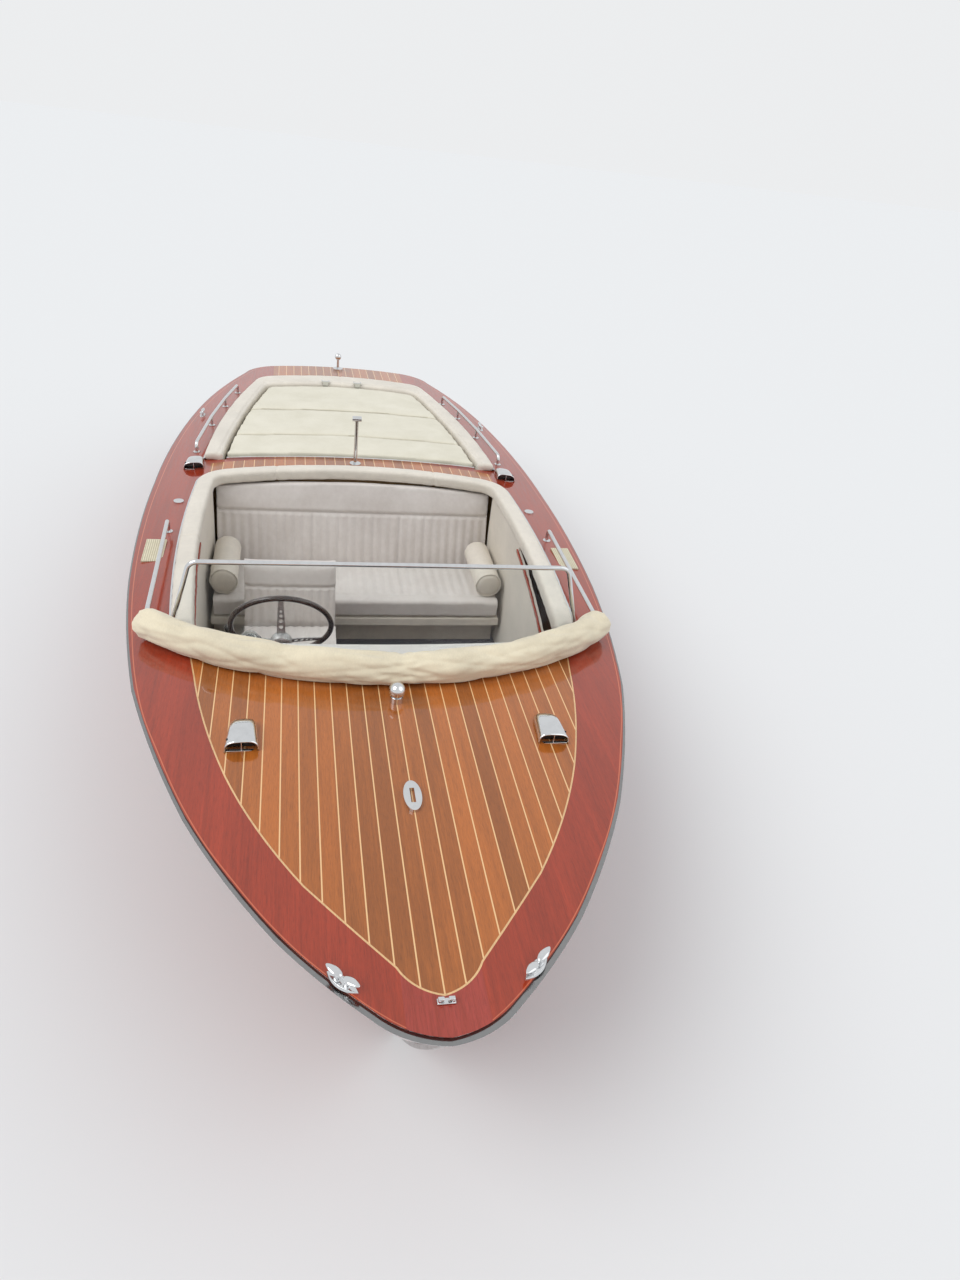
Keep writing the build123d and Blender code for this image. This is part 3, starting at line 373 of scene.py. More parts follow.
def hide(name, base, worn, scale=700.0):
    material, tree, shader, place = new_material(name)
    grain = use_group(tree, "Hide Grain", Position=place, Base=rgb(base), Worn=rgb(worn), Scale=scale)
    surface(tree, shader, grain["Colour"], grain["Roughness"])
    fix(shader, Sheen_Weight=0.15, Specular_IOR_Level=0.4)
    bump(tree, shader, grain["Height"], 0.0005, 0.25)
    return material


def cloth(name, base, shade, threads=900.0, sheen=0.3, depth=0.0006):
    material, tree, shader, place = new_material(name)
    weave = use_group(tree, "Cloth Weave", Position=place, Base=rgb(base), Shade=rgb(shade), Threads=threads)
    surface(tree, shader, weave["Colour"], weave["Roughness"])
    fix(shader, Sheen_Weight=sheen, Specular_IOR_Level=0.25)
    bump(tree, shader, weave["Height"], depth, 0.4)
    return material


def metal(name, base, low, high, scale=30.0, tarnish=None):
    material, tree, shader, place = new_material(name)
    marks = use_group(tree, "Handling Marks", Position=place, Low=low, High=high, Scale=scale)
    dull = tarnish or tuple(0.72 * c for c in base)
    colour = blend_colour(tree, times(tree, marks["Mask"], 0.35), rgb(base), rgb(dull))
    surface(tree, shader, colour, marks["Roughness"])
    fix(shader, Metallic=1.0)
    bump(tree, shader, marks["Mask"], 0.0001, 0.04)
    return material


def moulded(name, base, worn, low=0.3, high=0.5, metallic=0.0, coat=0.0, scale=40.0):
    material, tree, shader, place = new_material(name)
    marks = use_group(tree, "Handling Marks", Position=place, Low=low, High=high, Scale=scale)
    grit = noise(tree, place, 900.0, 2.0, 0.6)
    surface(tree, shader, blend_colour(tree, marks["Mask"], rgb(base), rgb(worn)), marks["Roughness"])
    fix(shader, Metallic=metallic, Coat_Weight=coat, Coat_Roughness=0.06)
    bump(tree, shader, grit, 0.0003, 0.2)
    return material


def clear_screen(name):
    material, tree, shader, place = new_material(name)
    marks = use_group(tree, "Handling Marks", Position=place, Low=0.01, High=0.05, Scale=12.0)
    join(tree, marks["Roughness"], shader.inputs["Roughness"])
    tint = blend_colour(tree, marks["Mask"], (0.96, 0.975, 0.97, 1), (0.93, 0.955, 0.95, 1))
    join(tree, tint, shader.inputs["Base Color"])
    fix(shader, Transmission_Weight=1.0, IOR=1.2)
    return material


def ribbed(name, base, shade):
    material, tree, shader, place = new_material(name)
    parts = put(tree, "ShaderNodeSeparateXYZ")
    join(tree, place, parts.inputs[0])
    wave = calc(tree, "SINE", times(tree, parts.outputs["Y"], math.tau / RIB_PITCH))
    rib = span(tree, wave, -0.4, 0.6)
    grime = span(tree, noise(tree, place, 26.0, 5.0, 0.6), 0.4, 0.7)
    dirty = blend_colour(tree, times(tree, grime, 0.4), rgb(base), rgb(shade))
    # Painted shade: the grooves between the ribs take the darker colour, which the random grime also uses as real
    # dirt
    surface(tree, shader, blend_colour(tree, rib, rgb(shade), dirty), span(tree, grime, 0.0, 1.0, 0.5, 0.75))
    bump(tree, shader, rib, 0.0015, 0.6)
    return material


def carpet(name, base, shade):
    material, tree, shader, place = new_material(name)
    pile = noise(tree, place, 520.0, 3.0, 0.7)
    patch = noise(tree, place, 9.0, 4.0, 0.6)
    tone = span(tree, mixture(tree, pile, patch, 0.6), 0.36, 0.64)
    surface(tree, shader, blend_colour(tree, tone, rgb(shade), rgb(base)), span(tree, pile, 0.3, 0.7, 0.85, 1.0))
    fix(shader, Sheen_Weight=0.4)
    bump(tree, shader, pile, 0.002, 0.7)
    return material


FINISH = {}


def build_finishes(settings):
    for build in (build_wood_group, build_plank_group, build_hide_group, build_weave_group, build_smear_group):
        build()
    red = tuple(settings.mahogany)
    dark_red = tuple(0.60 * c for c in red)
    gold = tuple(settings.planking)
    dark_gold = tuple(0.62 * c for c in gold)
    seam = tuple(settings.seam)
    FINISH["topside"] = timber("Topside Mahogany", red, dark_red, 1.0, ("Z", 0.118, 0.0012), (0.05, 0.012, 0.006))
    FINISH["boards"] = deck_board("Covering Board Mahogany", red, dark_red, (0.62, 0.16, 0.075))
    FINISH["fascia"] = timber("Dash Mahogany", red, dark_red)
    FINISH["bow"] = timber("Bow Piece Mahogany", (red[0] * 1.02, red[1] * 1.2, red[2] * 2.6), dark_red)
    FINISH["planks"] = timber("Foredeck Planking", gold, dark_gold, 1.0, ("Y", 0.054, 0.0032), seam)
    FINISH["inlay"] = timber("Pale Inlay", seam, tuple(0.8 * c for c in seam))
    FINISH["ply"] = timber("Sealed Plywood", (0.50, 0.33, 0.17), (0.33, 0.20, 0.09), 0.2)
    cream = tuple(settings.upholstery)
    FINISH["cream"] = hide("Cream Upholstery", cream, tuple(0.86 * c for c in cream))
    FINISH["white"] = hide("Pale Pleated Upholstery", (0.70, 0.655, 0.615), (0.61, 0.56, 0.52), 650.0)
    FINISH["dash"] = hide("White Dash Covering", (0.83, 0.80, 0.76), (0.76, 0.72, 0.68), 600.0)
    FINISH["rail"] = metal("Rubbing Strip", (0.30, 0.30, 0.30), 0.10, 0.24, 40.0)
    FINISH["cushion"] = cloth("Sunpad Cover", (0.73, 0.69, 0.57), (0.65, 0.61, 0.49), 700.0, 0.2, 0.0004)
    FINISH["canvas"] = cloth("Hood Canvas", tuple(settings.canvas), tuple(0.80 * c for c in settings.canvas), 520.0)
    FINISH["carpet"] = carpet("Sole Carpet", (0.10, 0.10, 0.135), (0.045, 0.045, 0.065))
    FINISH["chrome"] = metal("Polished Chrome", (0.72, 0.73, 0.74), 0.04, 0.12)
    FINISH["steel"] = metal("Brushed Stainless", (0.62, 0.63, 0.64), 0.2, 0.38, 60.0)
    FINISH["spoke"] = moulded("Satin Spokes", (0.50, 0.50, 0.49), (0.40, 0.40, 0.39), 0.25, 0.40, 0.35, 0.2)
    FINISH["bronze"] = metal("Cast Bronze", (0.56, 0.36, 0.16), 0.28, 0.5, 40.0, (0.20, 0.17, 0.10))
    FINISH["iron"] = moulded("Painted Castings", (0.10, 0.13, 0.15), (0.05, 0.05, 0.05), 0.4, 0.6)
    FINISH["bottom"] = moulded("Bottom Paint", (0.60, 0.60, 0.56), (0.46, 0.47, 0.42), 0.5, 0.7, 0.0, 0.0, 8.0)
    FINISH["rim"] = moulded("Wheel Rim", (0.035, 0.018, 0.014), (0.06, 0.035, 0.028), 0.16, 0.3, 0.0, 0.6)
    FINISH["black"] = moulded("Black Moulding", (0.012, 0.012, 0.013), (0.03, 0.03, 0.03), 0.2, 0.4, 0.0, 0.4)
    FINISH["screen"] = clear_screen("Clear Screen")
    FINISH["pad"] = ribbed("Ribbed Step Pad", (0.80, 0.74, 0.56), (0.50, 0.44, 0.30))


NODE_FINISH = {
    "topside": ["hull_topsides", "transom", "spray_rails"],
    "boards": ["covering_boards"],
    "fascia": ["dash_panel"],
    "bow": ["bow_deck_piece"],
    "planks": ["foredeck_planking", "midship_band", "aft_deck"],
    "inlay": ["margin_inlay"],
    "ply": ["hatch_lid", "hatch_frame", "bulkheads", "engine_bearers"],
    "cream": ["cockpit_coaming", "sunpad_coaming", "side_panels", "bench_base", "armrests", "helm_seat_base"],
    "dash": ["dash_top"],
    "rail": ["rub_rail", "stem_band"],
    "white": ["bench_cushion", "bench_backrest", "helm_seat_cushion", "helm_seat_back"],
    "cushion": ["sunpad_cushion_front", "sunpad_cushion_middle", "sunpad_cushion_aft"],
    "canvas": ["canvas_roll"],
    "carpet": ["cockpit_sole"],
    "chrome": [
        "coaming_trim", "hatch_hinge_straps", "hatch_hinge_pins", "wheel_hub",
        "windshield_frame", "vent_cowls", "cleats", "deck_light", "foredeck_fitting", "bow_chock",
        "deck_caps", "light_mast", "stern_fitting", "grab_rails",
    ],
    "steel": ["propeller_shaft", "exhaust_pipes"],
    "bronze": ["propeller", "stern_brackets", "rudder"],
    "iron": ["engine_block"],
    "bottom": ["hull_bottom"],
    "rim": ["wheel_rim"],
    "black": ["steering_column", "compass", "throttle"],
    "screen": ["windshield_glass"],
    "pad": ["step_pads"],
}


def dress(obj, finish):
    obj.data.materials.clear()
    obj.data.materials.append(FINISH[finish])


# Soft piece helpers
def link_mesh(name, mesh):
    obj = bpy.data.objects.new(name, mesh)
    bpy.context.scene.collection.objects.link(obj)
    return obj


def object_of(bm, name):
    mesh = bpy.data.meshes.new(name)
    bm.to_mesh(mesh)
    bm.free()
    return link_mesh(name, mesh)


def baked(obj):
    graph = bpy.context.evaluated_depsgraph_get()
    graph.update()
    mesh = bpy.data.meshes.new_from_object(obj.evaluated_get(graph))
    obj.modifiers.clear()
    obj.data = mesh
    return obj


def merged_copy(node, name):
    bm = bmesh.new()
    bm.from_mesh(NODES[node].data)
    bmesh.ops.remove_doubles(bm, verts=bm.verts, dist=0.0001)
    return object_of(bm, name)


def covered(node, name, voxel):
    obj = merged_copy(node, name)
    remesh = obj.modifiers.new("Cover", "REMESH")
    remesh.mode = "VOXEL"
    remesh.voxel_size = voxel
    baked(obj)
    return obj


def shade_smooth(obj):
    for face in obj.data.polygons:
        face.use_smooth = True
    return obj


def relax(obj, rounds, swell=0.0):
    bm = bmesh.new()
    bm.from_mesh(obj.data)
    for _ in range(rounds):
        bmesh.ops.smooth_vert(bm, verts=bm.verts, factor=0.5, use_axis_x=True, use_axis_y=True, use_axis_z=True)
    bm.normal_update()
    if swell:
        for vert in bm.verts:
            vert.co += vert.normal * swell
    bm.to_mesh(obj.data)
    bm.free()
    return shade_smooth(obj)


def softened(node, name, voxel, rounds, swell):
    return relax(covered(node, name, voxel), rounds, swell)


def filled(node, name, voxel, cap):
    obj = relax(covered(node, name, voxel), 3, -cap)
    start = [vert.co.copy() for vert in obj.data.vertices]
    scene = bpy.context.scene
    filling = obj.modifiers.new("Filling", "CLOTH")
    filling.settings.quality = 4
    filling.settings.use_pressure = True
    filling.settings.uniform_pressure_force = 4.0
    filling.settings.effector_weights.gravity = 0.0
    filling.collision_settings.use_collision = False
    for number in range(1, FILLING_FRAMES + 1):
        scene.frame_set(number)
    baked(obj)
    scene.frame_set(1)
    for vert, old in zip(obj.data.vertices, start):
        step = vert.co - old
        if step.length > cap:
            vert.co = old + step * (cap / step.length)
    return relax(obj, 1)


def worked(obj, move):
    bm = bmesh.new()
    bm.from_mesh(obj.data)
    bm.normal_update()
    steps = [(vert, vert.normal * move(vert.co, vert.normal)) for vert in bm.verts]
    for vert, step in steps:
        vert.co += step
    bm.to_mesh(obj.data)
    bm.free()
    return shade_smooth(obj)


def dent(distance, width):
    return math.exp(-(distance / width) ** 2)


def scallop(place, pitch):
    return 1.0 - abs(math.sin(math.pi * place / pitch)) ** 0.55


def creases(place, scale, size):
    low = mathutils.noise.noise(Vector(place) * scale)
    high = mathutils.noise.noise(Vector(place) * scale * 3.1)
    return size * (low + 0.4 * high)


def settle(obj, node, finish, body="hull", finer=False):
    if finer:
        extra = obj.modifiers.new("Finer", "SUBSURF")
        extra.levels = 1
        extra.render_levels = 1
    dress(obj, finish)
    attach(obj, body)
    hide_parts(node)
    return obj


# Upholstery
BENCH_PLEAT = 0.047
HELM_PLEAT = 0.0418
PAD_INNER_TAIL = -2.235
HOOD_CENTRE_X = 0.31


def make_coaming_rolls():
    rim = softened("cockpit_coaming", "cockpit_roll", 0.006, 9, 0.0022)

    def rim_shape(co, normal):
        seam = min(dent(co.x - 0.30, 0.006), 1.0) + dent(abs(co.y) - 0.42, 0.006) * (1.0 if co.x < -0.4 else 0.0)
        return -0.004 * seam + creases(co, 9.0, 0.0012)

    settle(worked(rim, rim_shape), "cockpit_coaming", "cream")
    pad = softened("sunpad_coaming", "sunpad_roll", 0.007, 9, 0.0022)

    def pad_shape(co, normal):
        inner = pad_inner_half(co.x)
        side = abs(co.y) - inner
        tail = PAD_INNER_TAIL - co.x
        inward = side if co.x > PAD_INNER_TAIL + 0.05 else max(side, tail)
        welt = dent(inward - 0.022, 0.006) if normal.z > 0.2 else 0.0
        seam = dent(co.x + 1.52, 0.006) if abs(co.y) > 0.5 else dent(co.y, 0.006)
        return -0.006 * welt - 0.004 * seam + creases(co, 8.0, 0.0018)

    settle(worked(pad, pad_shape), "sunpad_coaming", "cream")


def pad_inner_half(x):
    fore = -0.700 - x
    return 0.714 - 0.0806 * fore - 0.0387 * fore * fore


def make_sunpad_cushions():
    for part in ("front", "middle", "aft"):
        node = "sunpad_cushion_" + part
        pad = filled(node, "sunpad_pad_" + part, 0.012, 0.005)

        def wrinkled(co, normal):
            return creases((co.x * 0.6, co.y, co.z), 7.0, 0.0022) if normal.z > 0.2 else 0.0

        settle(worked(pad, wrinkled), node, "cushion", "hatch_group", True)


# Seam across a pad, pleats up to its margin. Depths: seam, pleat. Wrinkles: face, sides
def pleated(face, seam_axis, seam, width, margin, depths, pitch, first, wrinkles):
    def shape(co, normal):
        if normal[face] < 0.3:
            return creases(co, 9.0, wrinkles[1])
        place = co[seam_axis]
        pleat = scallop(co.y - first, pitch) if place < seam - margin else 0.0
        return -depths[0] * dent(place - seam, width) - depths[1] * pleat + creases(co, 8.0, wrinkles[0])

    return shape


def pleated_pad(node, name, voxel, cap, shape):
    settle(worked(filled(node, name, voxel, cap), shape), node, "white")


def make_bench():
    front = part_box("bench_cushion")[1][0]
    seat = pleated(2, 0, front - 0.075, 0.006, 0.005, (0.006, 0.006), BENCH_PLEAT, 0.0, (0.0015, 0.0012))
    pleated_pad("bench_cushion", "bench_seat_pad", 0.010, 0.008, seat)
    back = pleated(0, 2, 0.590, 0.008, 0.010, (0.012, 0.009), BENCH_PLEAT, 0.0, (0.0015, 0.0))
    pleated_pad("bench_backrest", "bench_back_pad", 0.010, 0.006, back)


def make_armrests():
    arms = filled("armrests", "bench_arms", 0.008, 0.006)
    settle(arms, "armrests", "cream")


def make_helm_seat():
    low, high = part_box("helm_seat_cushion")
    seat = pleated(2, 0, high[0] - 0.065, 0.006, 0.005, (0.006, 0.006), HELM_PLEAT, low[1], (0.0012, 0.0012))
    pleated_pad("helm_seat_cushion", "helm_seat_pad", 0.008, 0.008, seat)
    back = pleated(0, 2, 0.500, 0.007, 0.010, (0.010, 0.008), HELM_PLEAT, low[1], (0.0012, 0.0012))
    pleated_pad("helm_seat_back", "helm_back_pad", 0.008, 0.007, back)


def make_hood_roll():
    hood = softened("canvas_roll", "hood_roll", 0.008, 6, 0.001)

    def rumpled(co, normal):
        around = math.atan2(normal.z, math.hypot(normal.x, normal.y))
        sweep = math.atan2(co.y, co.x - HOOD_CENTRE_X)
        slant = sweep * 6.0 + around * 0.9
        sharp = 1.0 - abs(2.0 * mathutils.noise.noise(Vector((slant, around * 0.9 - sweep * 1.5, 0.3))))
        cross = 1.0 - abs(2.0 * mathutils.noise.noise(Vector((sweep * 4.5 - around * 1.3, around * 0.8, 5.1))))
        broad = mathutils.noise.noise(Vector((sweep * 5.0, around * 1.2, 1.7)))
        pinch = dent(co.y - 0.03, 0.10) * abs(math.sin(5.0 * math.atan2(around - 0.35, (co.y - 0.03) * 9.0)))
        welt = dent(around + 0.28, 0.035) - 1.4 * dent(around + 0.18, 0.05)
        valleys = 0.008 * max(0.0, sharp) ** 3 + 0.006 * max(0.0, cross) ** 4
        return 0.007 * broad + 0.002 * welt - valleys - 0.006 * pinch

    settle(relax(worked(hood, rumpled), 2), "canvas_roll", "canvas", finer=True)


# Rigid detail helpers


def deck_height(x, y=0.0):
    for (xa, ca), (xb, cb) in zip(CROWN, CROWN[1:]):
        if x <= xb:
            break
    crown = ca + (cb - ca) * (x - xa) / (xb - xa)
    return SHEER_MID + SHEER_RISE * x + crown - y * y / (2 * CAMBER_RADIUS)


def fitted(bm, name, finish, body="hull", replaces=None, wall=0.0, edge=0.0):
    bmesh.ops.remove_doubles(bm, verts=bm.verts, dist=MERGE)
    bmesh.ops.recalc_face_normals(bm, faces=bm.faces)
    obj = shade_smooth(object_of(bm, name))
    if wall:
        shell = obj.modifiers.new("Wall", "SOLIDIFY")
        shell.thickness = wall
        shell.offset = -1.0
    if edge:
        soft = obj.modifiers.new("Edge", "BEVEL")
        soft.width = edge
        soft.segments = 2
        soft.limit_method = "ANGLE"
    dress(obj, finish)
    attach(obj, body)
    if replaces:
        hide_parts(replaces)
    return obj


def verts_of(geometry):
    return [item for item in geometry if isinstance(item, bmesh.types.BMVert)]


def add_box(bm, place, size):
    made = bmesh.ops.create_cube(bm, size=1.0)["verts"]
    bmesh.ops.scale(bm, vec=size, verts=made)
    bmesh.ops.translate(bm, vec=place, verts=made)


def spun(bm, profile, centre, axis, across, steps=40):
    verts = [bm.verts.new(Vector(centre) + Vector(axis) * a + Vector(across) * r) for r, a in profile]
    edges = [bm.edges.new(pair) for pair in zip(verts, verts[1:])]
    bmesh.ops.spin(
        bm, geom=verts + edges, cent=centre, axis=axis, dvec=(0, 0, 0), angle=2 * math.pi, steps=steps,
        use_merge=True)


# Steering wheel centre
WHEEL_TILT = math.radians(25)
WHEEL_AXIS = Vector((-math.cos(WHEEL_TILT), 0, math.sin(WHEEL_TILT)))
WHEEL_UP = Vector((math.sin(WHEEL_TILT), 0, math.cos(WHEEL_TILT)))
WHEEL_SIDE = Vector((0, 1, 0))
HUB_PLACE = Vector((0.935, -0.385, 0.748)) - WHEEL_AXIS * 0.072
SPOKE_HOLES = [(0.068, 0.0088), (0.094, 0.0076), (0.117, 0.0064), (0.137, 0.0052)]
SPOKE_ROOT = 0.034
SPOKE_TIP = 0.187


def spoke_width(reach):
    return 0.034 - 0.014 * (reach - SPOKE_ROOT) / (SPOKE_TIP - SPOKE_ROOT)


def add_spoke(bm, angle):
    out = WHEEL_UP * math.cos(angle) + WHEEL_SIDE * math.sin(angle)
    side = WHEEL_AXIS.cross(out)
    made = []
    for k, (reach, radius) in enumerate(SPOKE_HOLES):
        fore = SPOKE_HOLES[k + 1][0] if k + 1 < len(SPOKE_HOLES) else reach + 0.020
        back = SPOKE_HOLES[k - 1][0] if k else reach - 0.026
        low, high = 0.5 * (back + reach), 0.5 * (fore + reach)
        circle = bmesh.ops.create_circle(bm, cap_ends=False, segments=16, radius=radius)["verts"]
        ring = {v: math.atan2(v.co.y, v.co.x) for v in circle}
        edges = list({e for v in circle for e in v.link_edges})
        grown = bmesh.ops.extrude_edge_only(bm, edges=edges)["geom"]
        outer = verts_of(grown)
        for vert in outer:
            turn = math.atan2(vert.co.y, vert.co.x)
            scale = 1.0 / max(abs(math.cos(turn)), abs(math.sin(turn)))
            a, b = math.cos(turn) * scale, math.sin(turn) * scale
            far = reach + (a * (high - reach) if a > 0 else a * (reach - low))
            vert.co = (far, b * spoke_width(far) / 2, 0)
        for vert, turn in ring.items():
            vert.co = (reach + radius * math.cos(turn), radius * math.sin(turn), 0)
        made += circle + outer
    bmesh.ops.remove_doubles(bm, verts=made, dist=MERGE)
    made = [v for v in made if v.is_valid]
    for end, stop in ((min(v.co.x for v in made), SPOKE_ROOT), (max(v.co.x for v in made), SPOKE_TIP)):
        edges = {e for v in made for e in v.link_edges if all(abs(w.co.x - end) < 1e-5 for w in e.verts)}
        grown = bmesh.ops.extrude_edge_only(bm, edges=list(edges))["geom"]
        tips = verts_of(grown)
        for vert in tips:
            vert.co = (stop, vert.co.y * spoke_width(stop) / spoke_width(end), 0)
        made += tips
    for vert in made:
        reach, off = vert.co.x, vert.co.y
        share = (reach - SPOKE_ROOT) / (SPOKE_TIP - SPOKE_ROOT)
        vert.co = HUB_PLACE + out * reach + side * off + WHEEL_AXIS * (0.010 + 0.058 * share ** 0.9)


def make_wheel_spokes():
    bm = bmesh.new()
    for k in range(3):
        part = bmesh.new()
        add_spoke(part, 2 * math.pi * k / 3)
        bmesh.ops.recalc_face_normals(part, faces=part.faces)
        bmesh.ops.solidify(part, geom=part.faces[:], thickness=0.004)
        mesh = bpy.data.meshes.new("spoke")
        part.to_mesh(mesh)
        part.free()
        bm.from_mesh(mesh)
    dome = [
        (0.0, 0.037), (0.008, 0.0368), (0.015, 0.036), (0.021, 0.034), (0.026, 0.031), (0.029, 0.027), (0.030, 0.022),
        (0.034, 0.0205), (0.039, 0.017), (0.0415, 0.011), (0.042, 0.002), (0.041, -0.010), (0.036, -0.016),
        (0.0, -0.0165),
    ]
    spun(bm, dome, HUB_PLACE, WHEEL_AXIS, WHEEL_UP)
    fitted(bm, "wheel_spokes", "spoke", "wheel_group", "wheel_hub", edge=0.0006)


# Air scoops on the deck
SCOOPS = [(1.785, -0.495), (1.785, 0.495), (-0.665, -0.850), (-0.665, 0.850)]


def scoop_skin(bm, x, y):
    made = bmesh.ops.create_grid(bm, x_segments=18, y_segments=28, size=1.0)["verts"]
    for vert in made:
        share = (vert.co.x + 1) / 2
        rise = math.sqrt(1 - (1 - min(share / 0.50, 1.0)) ** 2)
        taper = 0.60 + 0.40 * math.sqrt(1 - (1 - min(share / 0.30, 1.0)) ** 2)
        tall = 0.0430 * rise * (1 - 0.08 * max(0.0, (share - 0.6) / 0.4) ** 2)
        half = (0.040 + 0.012 * share) * taper
        turn = vert.co.y * math.pi / 2
        wide = math.copysign(abs(math.sin(turn)) ** 0.62, turn) * half
        high = max(0.0, math.cos(turn)) ** 0.62 * tall
        ax, ay = x - 0.092 + 0.150 * share, y + wide
        vert.co = (ax, ay, deck_height(ax, ay) + 0.0006 + high)


def make_scoops():
    skin = bmesh.new()
    ribs = bmesh.new()
    mouth_shade_sheets = bmesh.new()
    for x, y in SCOOPS:
        scoop_skin(skin, x, y)
        floor = deck_height(x, y) + 0.001
        add_box(ribs, (x + 0.043, y, floor + 0.018), (0.022, 0.003, 0.035))
        add_box(ribs, (x + 0.050, y, floor + 0.0015), (0.010, 0.094, 0.003))
        # A black sheet inside each scoop mouth is painted shade standing in for the dark opening
        add_box(mouth_shade_sheets, (x + 0.030, y, floor + 0.016), (0.003, 0.092, 0.032))
    fitted(skin, "scoop_shells", "chrome", replaces="vent_cowls", wall=0.003)
    fitted(ribs, "scoop_dividers", "chrome", edge=0.0008)
    fitted(mouth_shade_sheets, "scoop_mouth_shade", "black", edge=0.0005)


# Dash, its panel, the column and the compass
DASH_TOP_RISE = 0.008
DASH_NOSE = 0.010
DASH_FOOT = 0.560


def dash_front(y):
    deck_side = 0.056 + math.sqrt(1.339 ** 2 - y * y)
    glass_side = 0.3932 + math.sqrt(1.0286 ** 2 - y * y) - 0.0015
    return min(deck_side, glass_side)


def dash_back(y):
    return min(1.256 - y * y / 6.16, dash_front(y) - 0.035)


def make_dash():
    shelf = bmesh.new()
    made = bmesh.ops.create_grid(shelf, x_segments=30, y_segments=72, size=1.0)["verts"]
    for vert in made:
        share, y = (vert.co.x + 1) / 2, 0.758 * vert.co.y
        front, back = dash_front(y), dash_back(y)
        nose_z = deck_height(back, y) + DASH_TOP_RISE - DASH_NOSE
        if share <= 0.45:
            x = front + (back + DASH_NOSE - front) * share / 0.45
            vert.co = (x, y, deck_height(x, y) + DASH_TOP_RISE)
        elif share <= 0.80:
            turn = math.pi / 2 + math.pi * (share - 0.45) / 0.35
            vert.co = (back + DASH_NOSE + DASH_NOSE * math.cos(turn), y, nose_z + DASH_NOSE * math.sin(turn))
        else:
            x = back + DASH_NOSE + 0.016 * (share - 0.80) / 0.20
            vert.co = (x, y, nose_z - DASH_NOSE)
    fitted(shelf, "dash_shelf", "dash", replaces="dash_top", wall=0.003)
    panel = bmesh.new()
    made = bmesh.ops.create_grid(panel, x_segments=12, y_segments=64, size=1.0)["verts"]
    for vert in made:
        y = 0.690 * vert.co.y
        x = dash_back(y) + 0.016
        top = deck_height(x, y) + DASH_TOP_RISE - DASH_NOSE
        vert.co = (x, y, DASH_FOOT + (top - DASH_FOOT) * (vert.co.x + 1) / 2)
    fascia = fitted(panel, "dash_fascia", "fascia", replaces="dash_panel", wall=0.014)
    fascia.modifiers["Wall"].offset = 0.0
    column = bmesh.new()
    tube = [
        (0.0, -0.0175), (0.021, -0.0175), (0.021, -0.205), (0.024, -0.209), (0.024, -0.232), (0.033, -0.238),
        (0.040, -0.250), (0.040, -0.266), (0.0, -0.266),
    ]
    spun(column, tube, HUB_PLACE, WHEEL_AXIS, WHEEL_UP)
    fitted(column, "helm_column", "black", replaces="steering_column", edge=0.0015)


COMPASS_X = 1.268
COMPASS_Y = -0.490


def make_compass():
    foot = (COMPASS_X, COMPASS_Y, deck_height(COMPASS_X, COMPASS_Y) + DASH_TOP_RISE - 0.002)
    base = bmesh.new()
    cup = [
        (0.0, 0.0), (0.047, 0.0), (0.047, 0.006), (0.043, 0.009), (0.041, 0.014), (0.0405, 0.030), (0.043, 0.033),
        (0.043, 0.041), (0.040, 0.043), (0.036, 0.042), (0.0355, 0.036), (0.0, 0.036),
    ]
    spun(base, cup, foot, (0, 0, 1), (1, 0, 0))
    card = [(0.0, 0.054), (0.012, 0.054), (0.024, 0.051), (0.0285, 0.046), (0.0285, 0.037), (0.0, 0.037)]
    spun(base, card, foot, (0, 0, 1), (1, 0, 0))
    fitted(base, "compass_base", "black", replaces="compass", edge=0.0006)
    marks = bmesh.new()
    for k in range(24):
        turn = math.tau * k / 24
        reach = 0.0215 if k % 2 else 0.0195
        place = (foot[0] + reach * math.cos(turn), foot[1] + reach * math.sin(turn), foot[2] + 0.0522)
        add_box(marks, place, (0.0020, 0.0020, 0.0024) if k % 2 else (0.0042, 0.0042, 0.0030))
    fitted(marks, "compass_marks", "dash", edge=0.0003)
    dome = bmesh.new()
    turns = [math.pi / 2 * k / 10 for k in range(11)]
    arch = [(0.0355 * math.cos(a), 0.040 + 0.034 * math.sin(a)) for a in turns]
    spun(dome, arch, foot, (0, 0, 1), (1, 0, 0))
    fitted(dome, "compass_dome", "screen", wall=0.0015)


# Small bow chock
def make_chock():
    bm = bmesh.new()
    x = 2.774
    z = deck_height(x) + 0.0004
    add_box(bm, (x, 0, z + 0.002), (0.016, 0.044, 0.004))
    for side in (-1, 1):
        add_box(bm, (x, side * 0.0165, z + 0.0065), (0.012, 0.007, 0.010))
        add_box(bm, (x, side * 0.0125, z + 0.0125), (0.010, 0.015, 0.004))
    fitted(bm, "bow_chock_horns", "chrome", replaces="bow_chock", edge=0.0014)


# Almond cleats with two leaf horns
CLEATS = [(2.700, 0.232, -47), (2.700, -0.232, 47), (-1.600, 0.885, 5), (-1.600, -0.885, -5)]


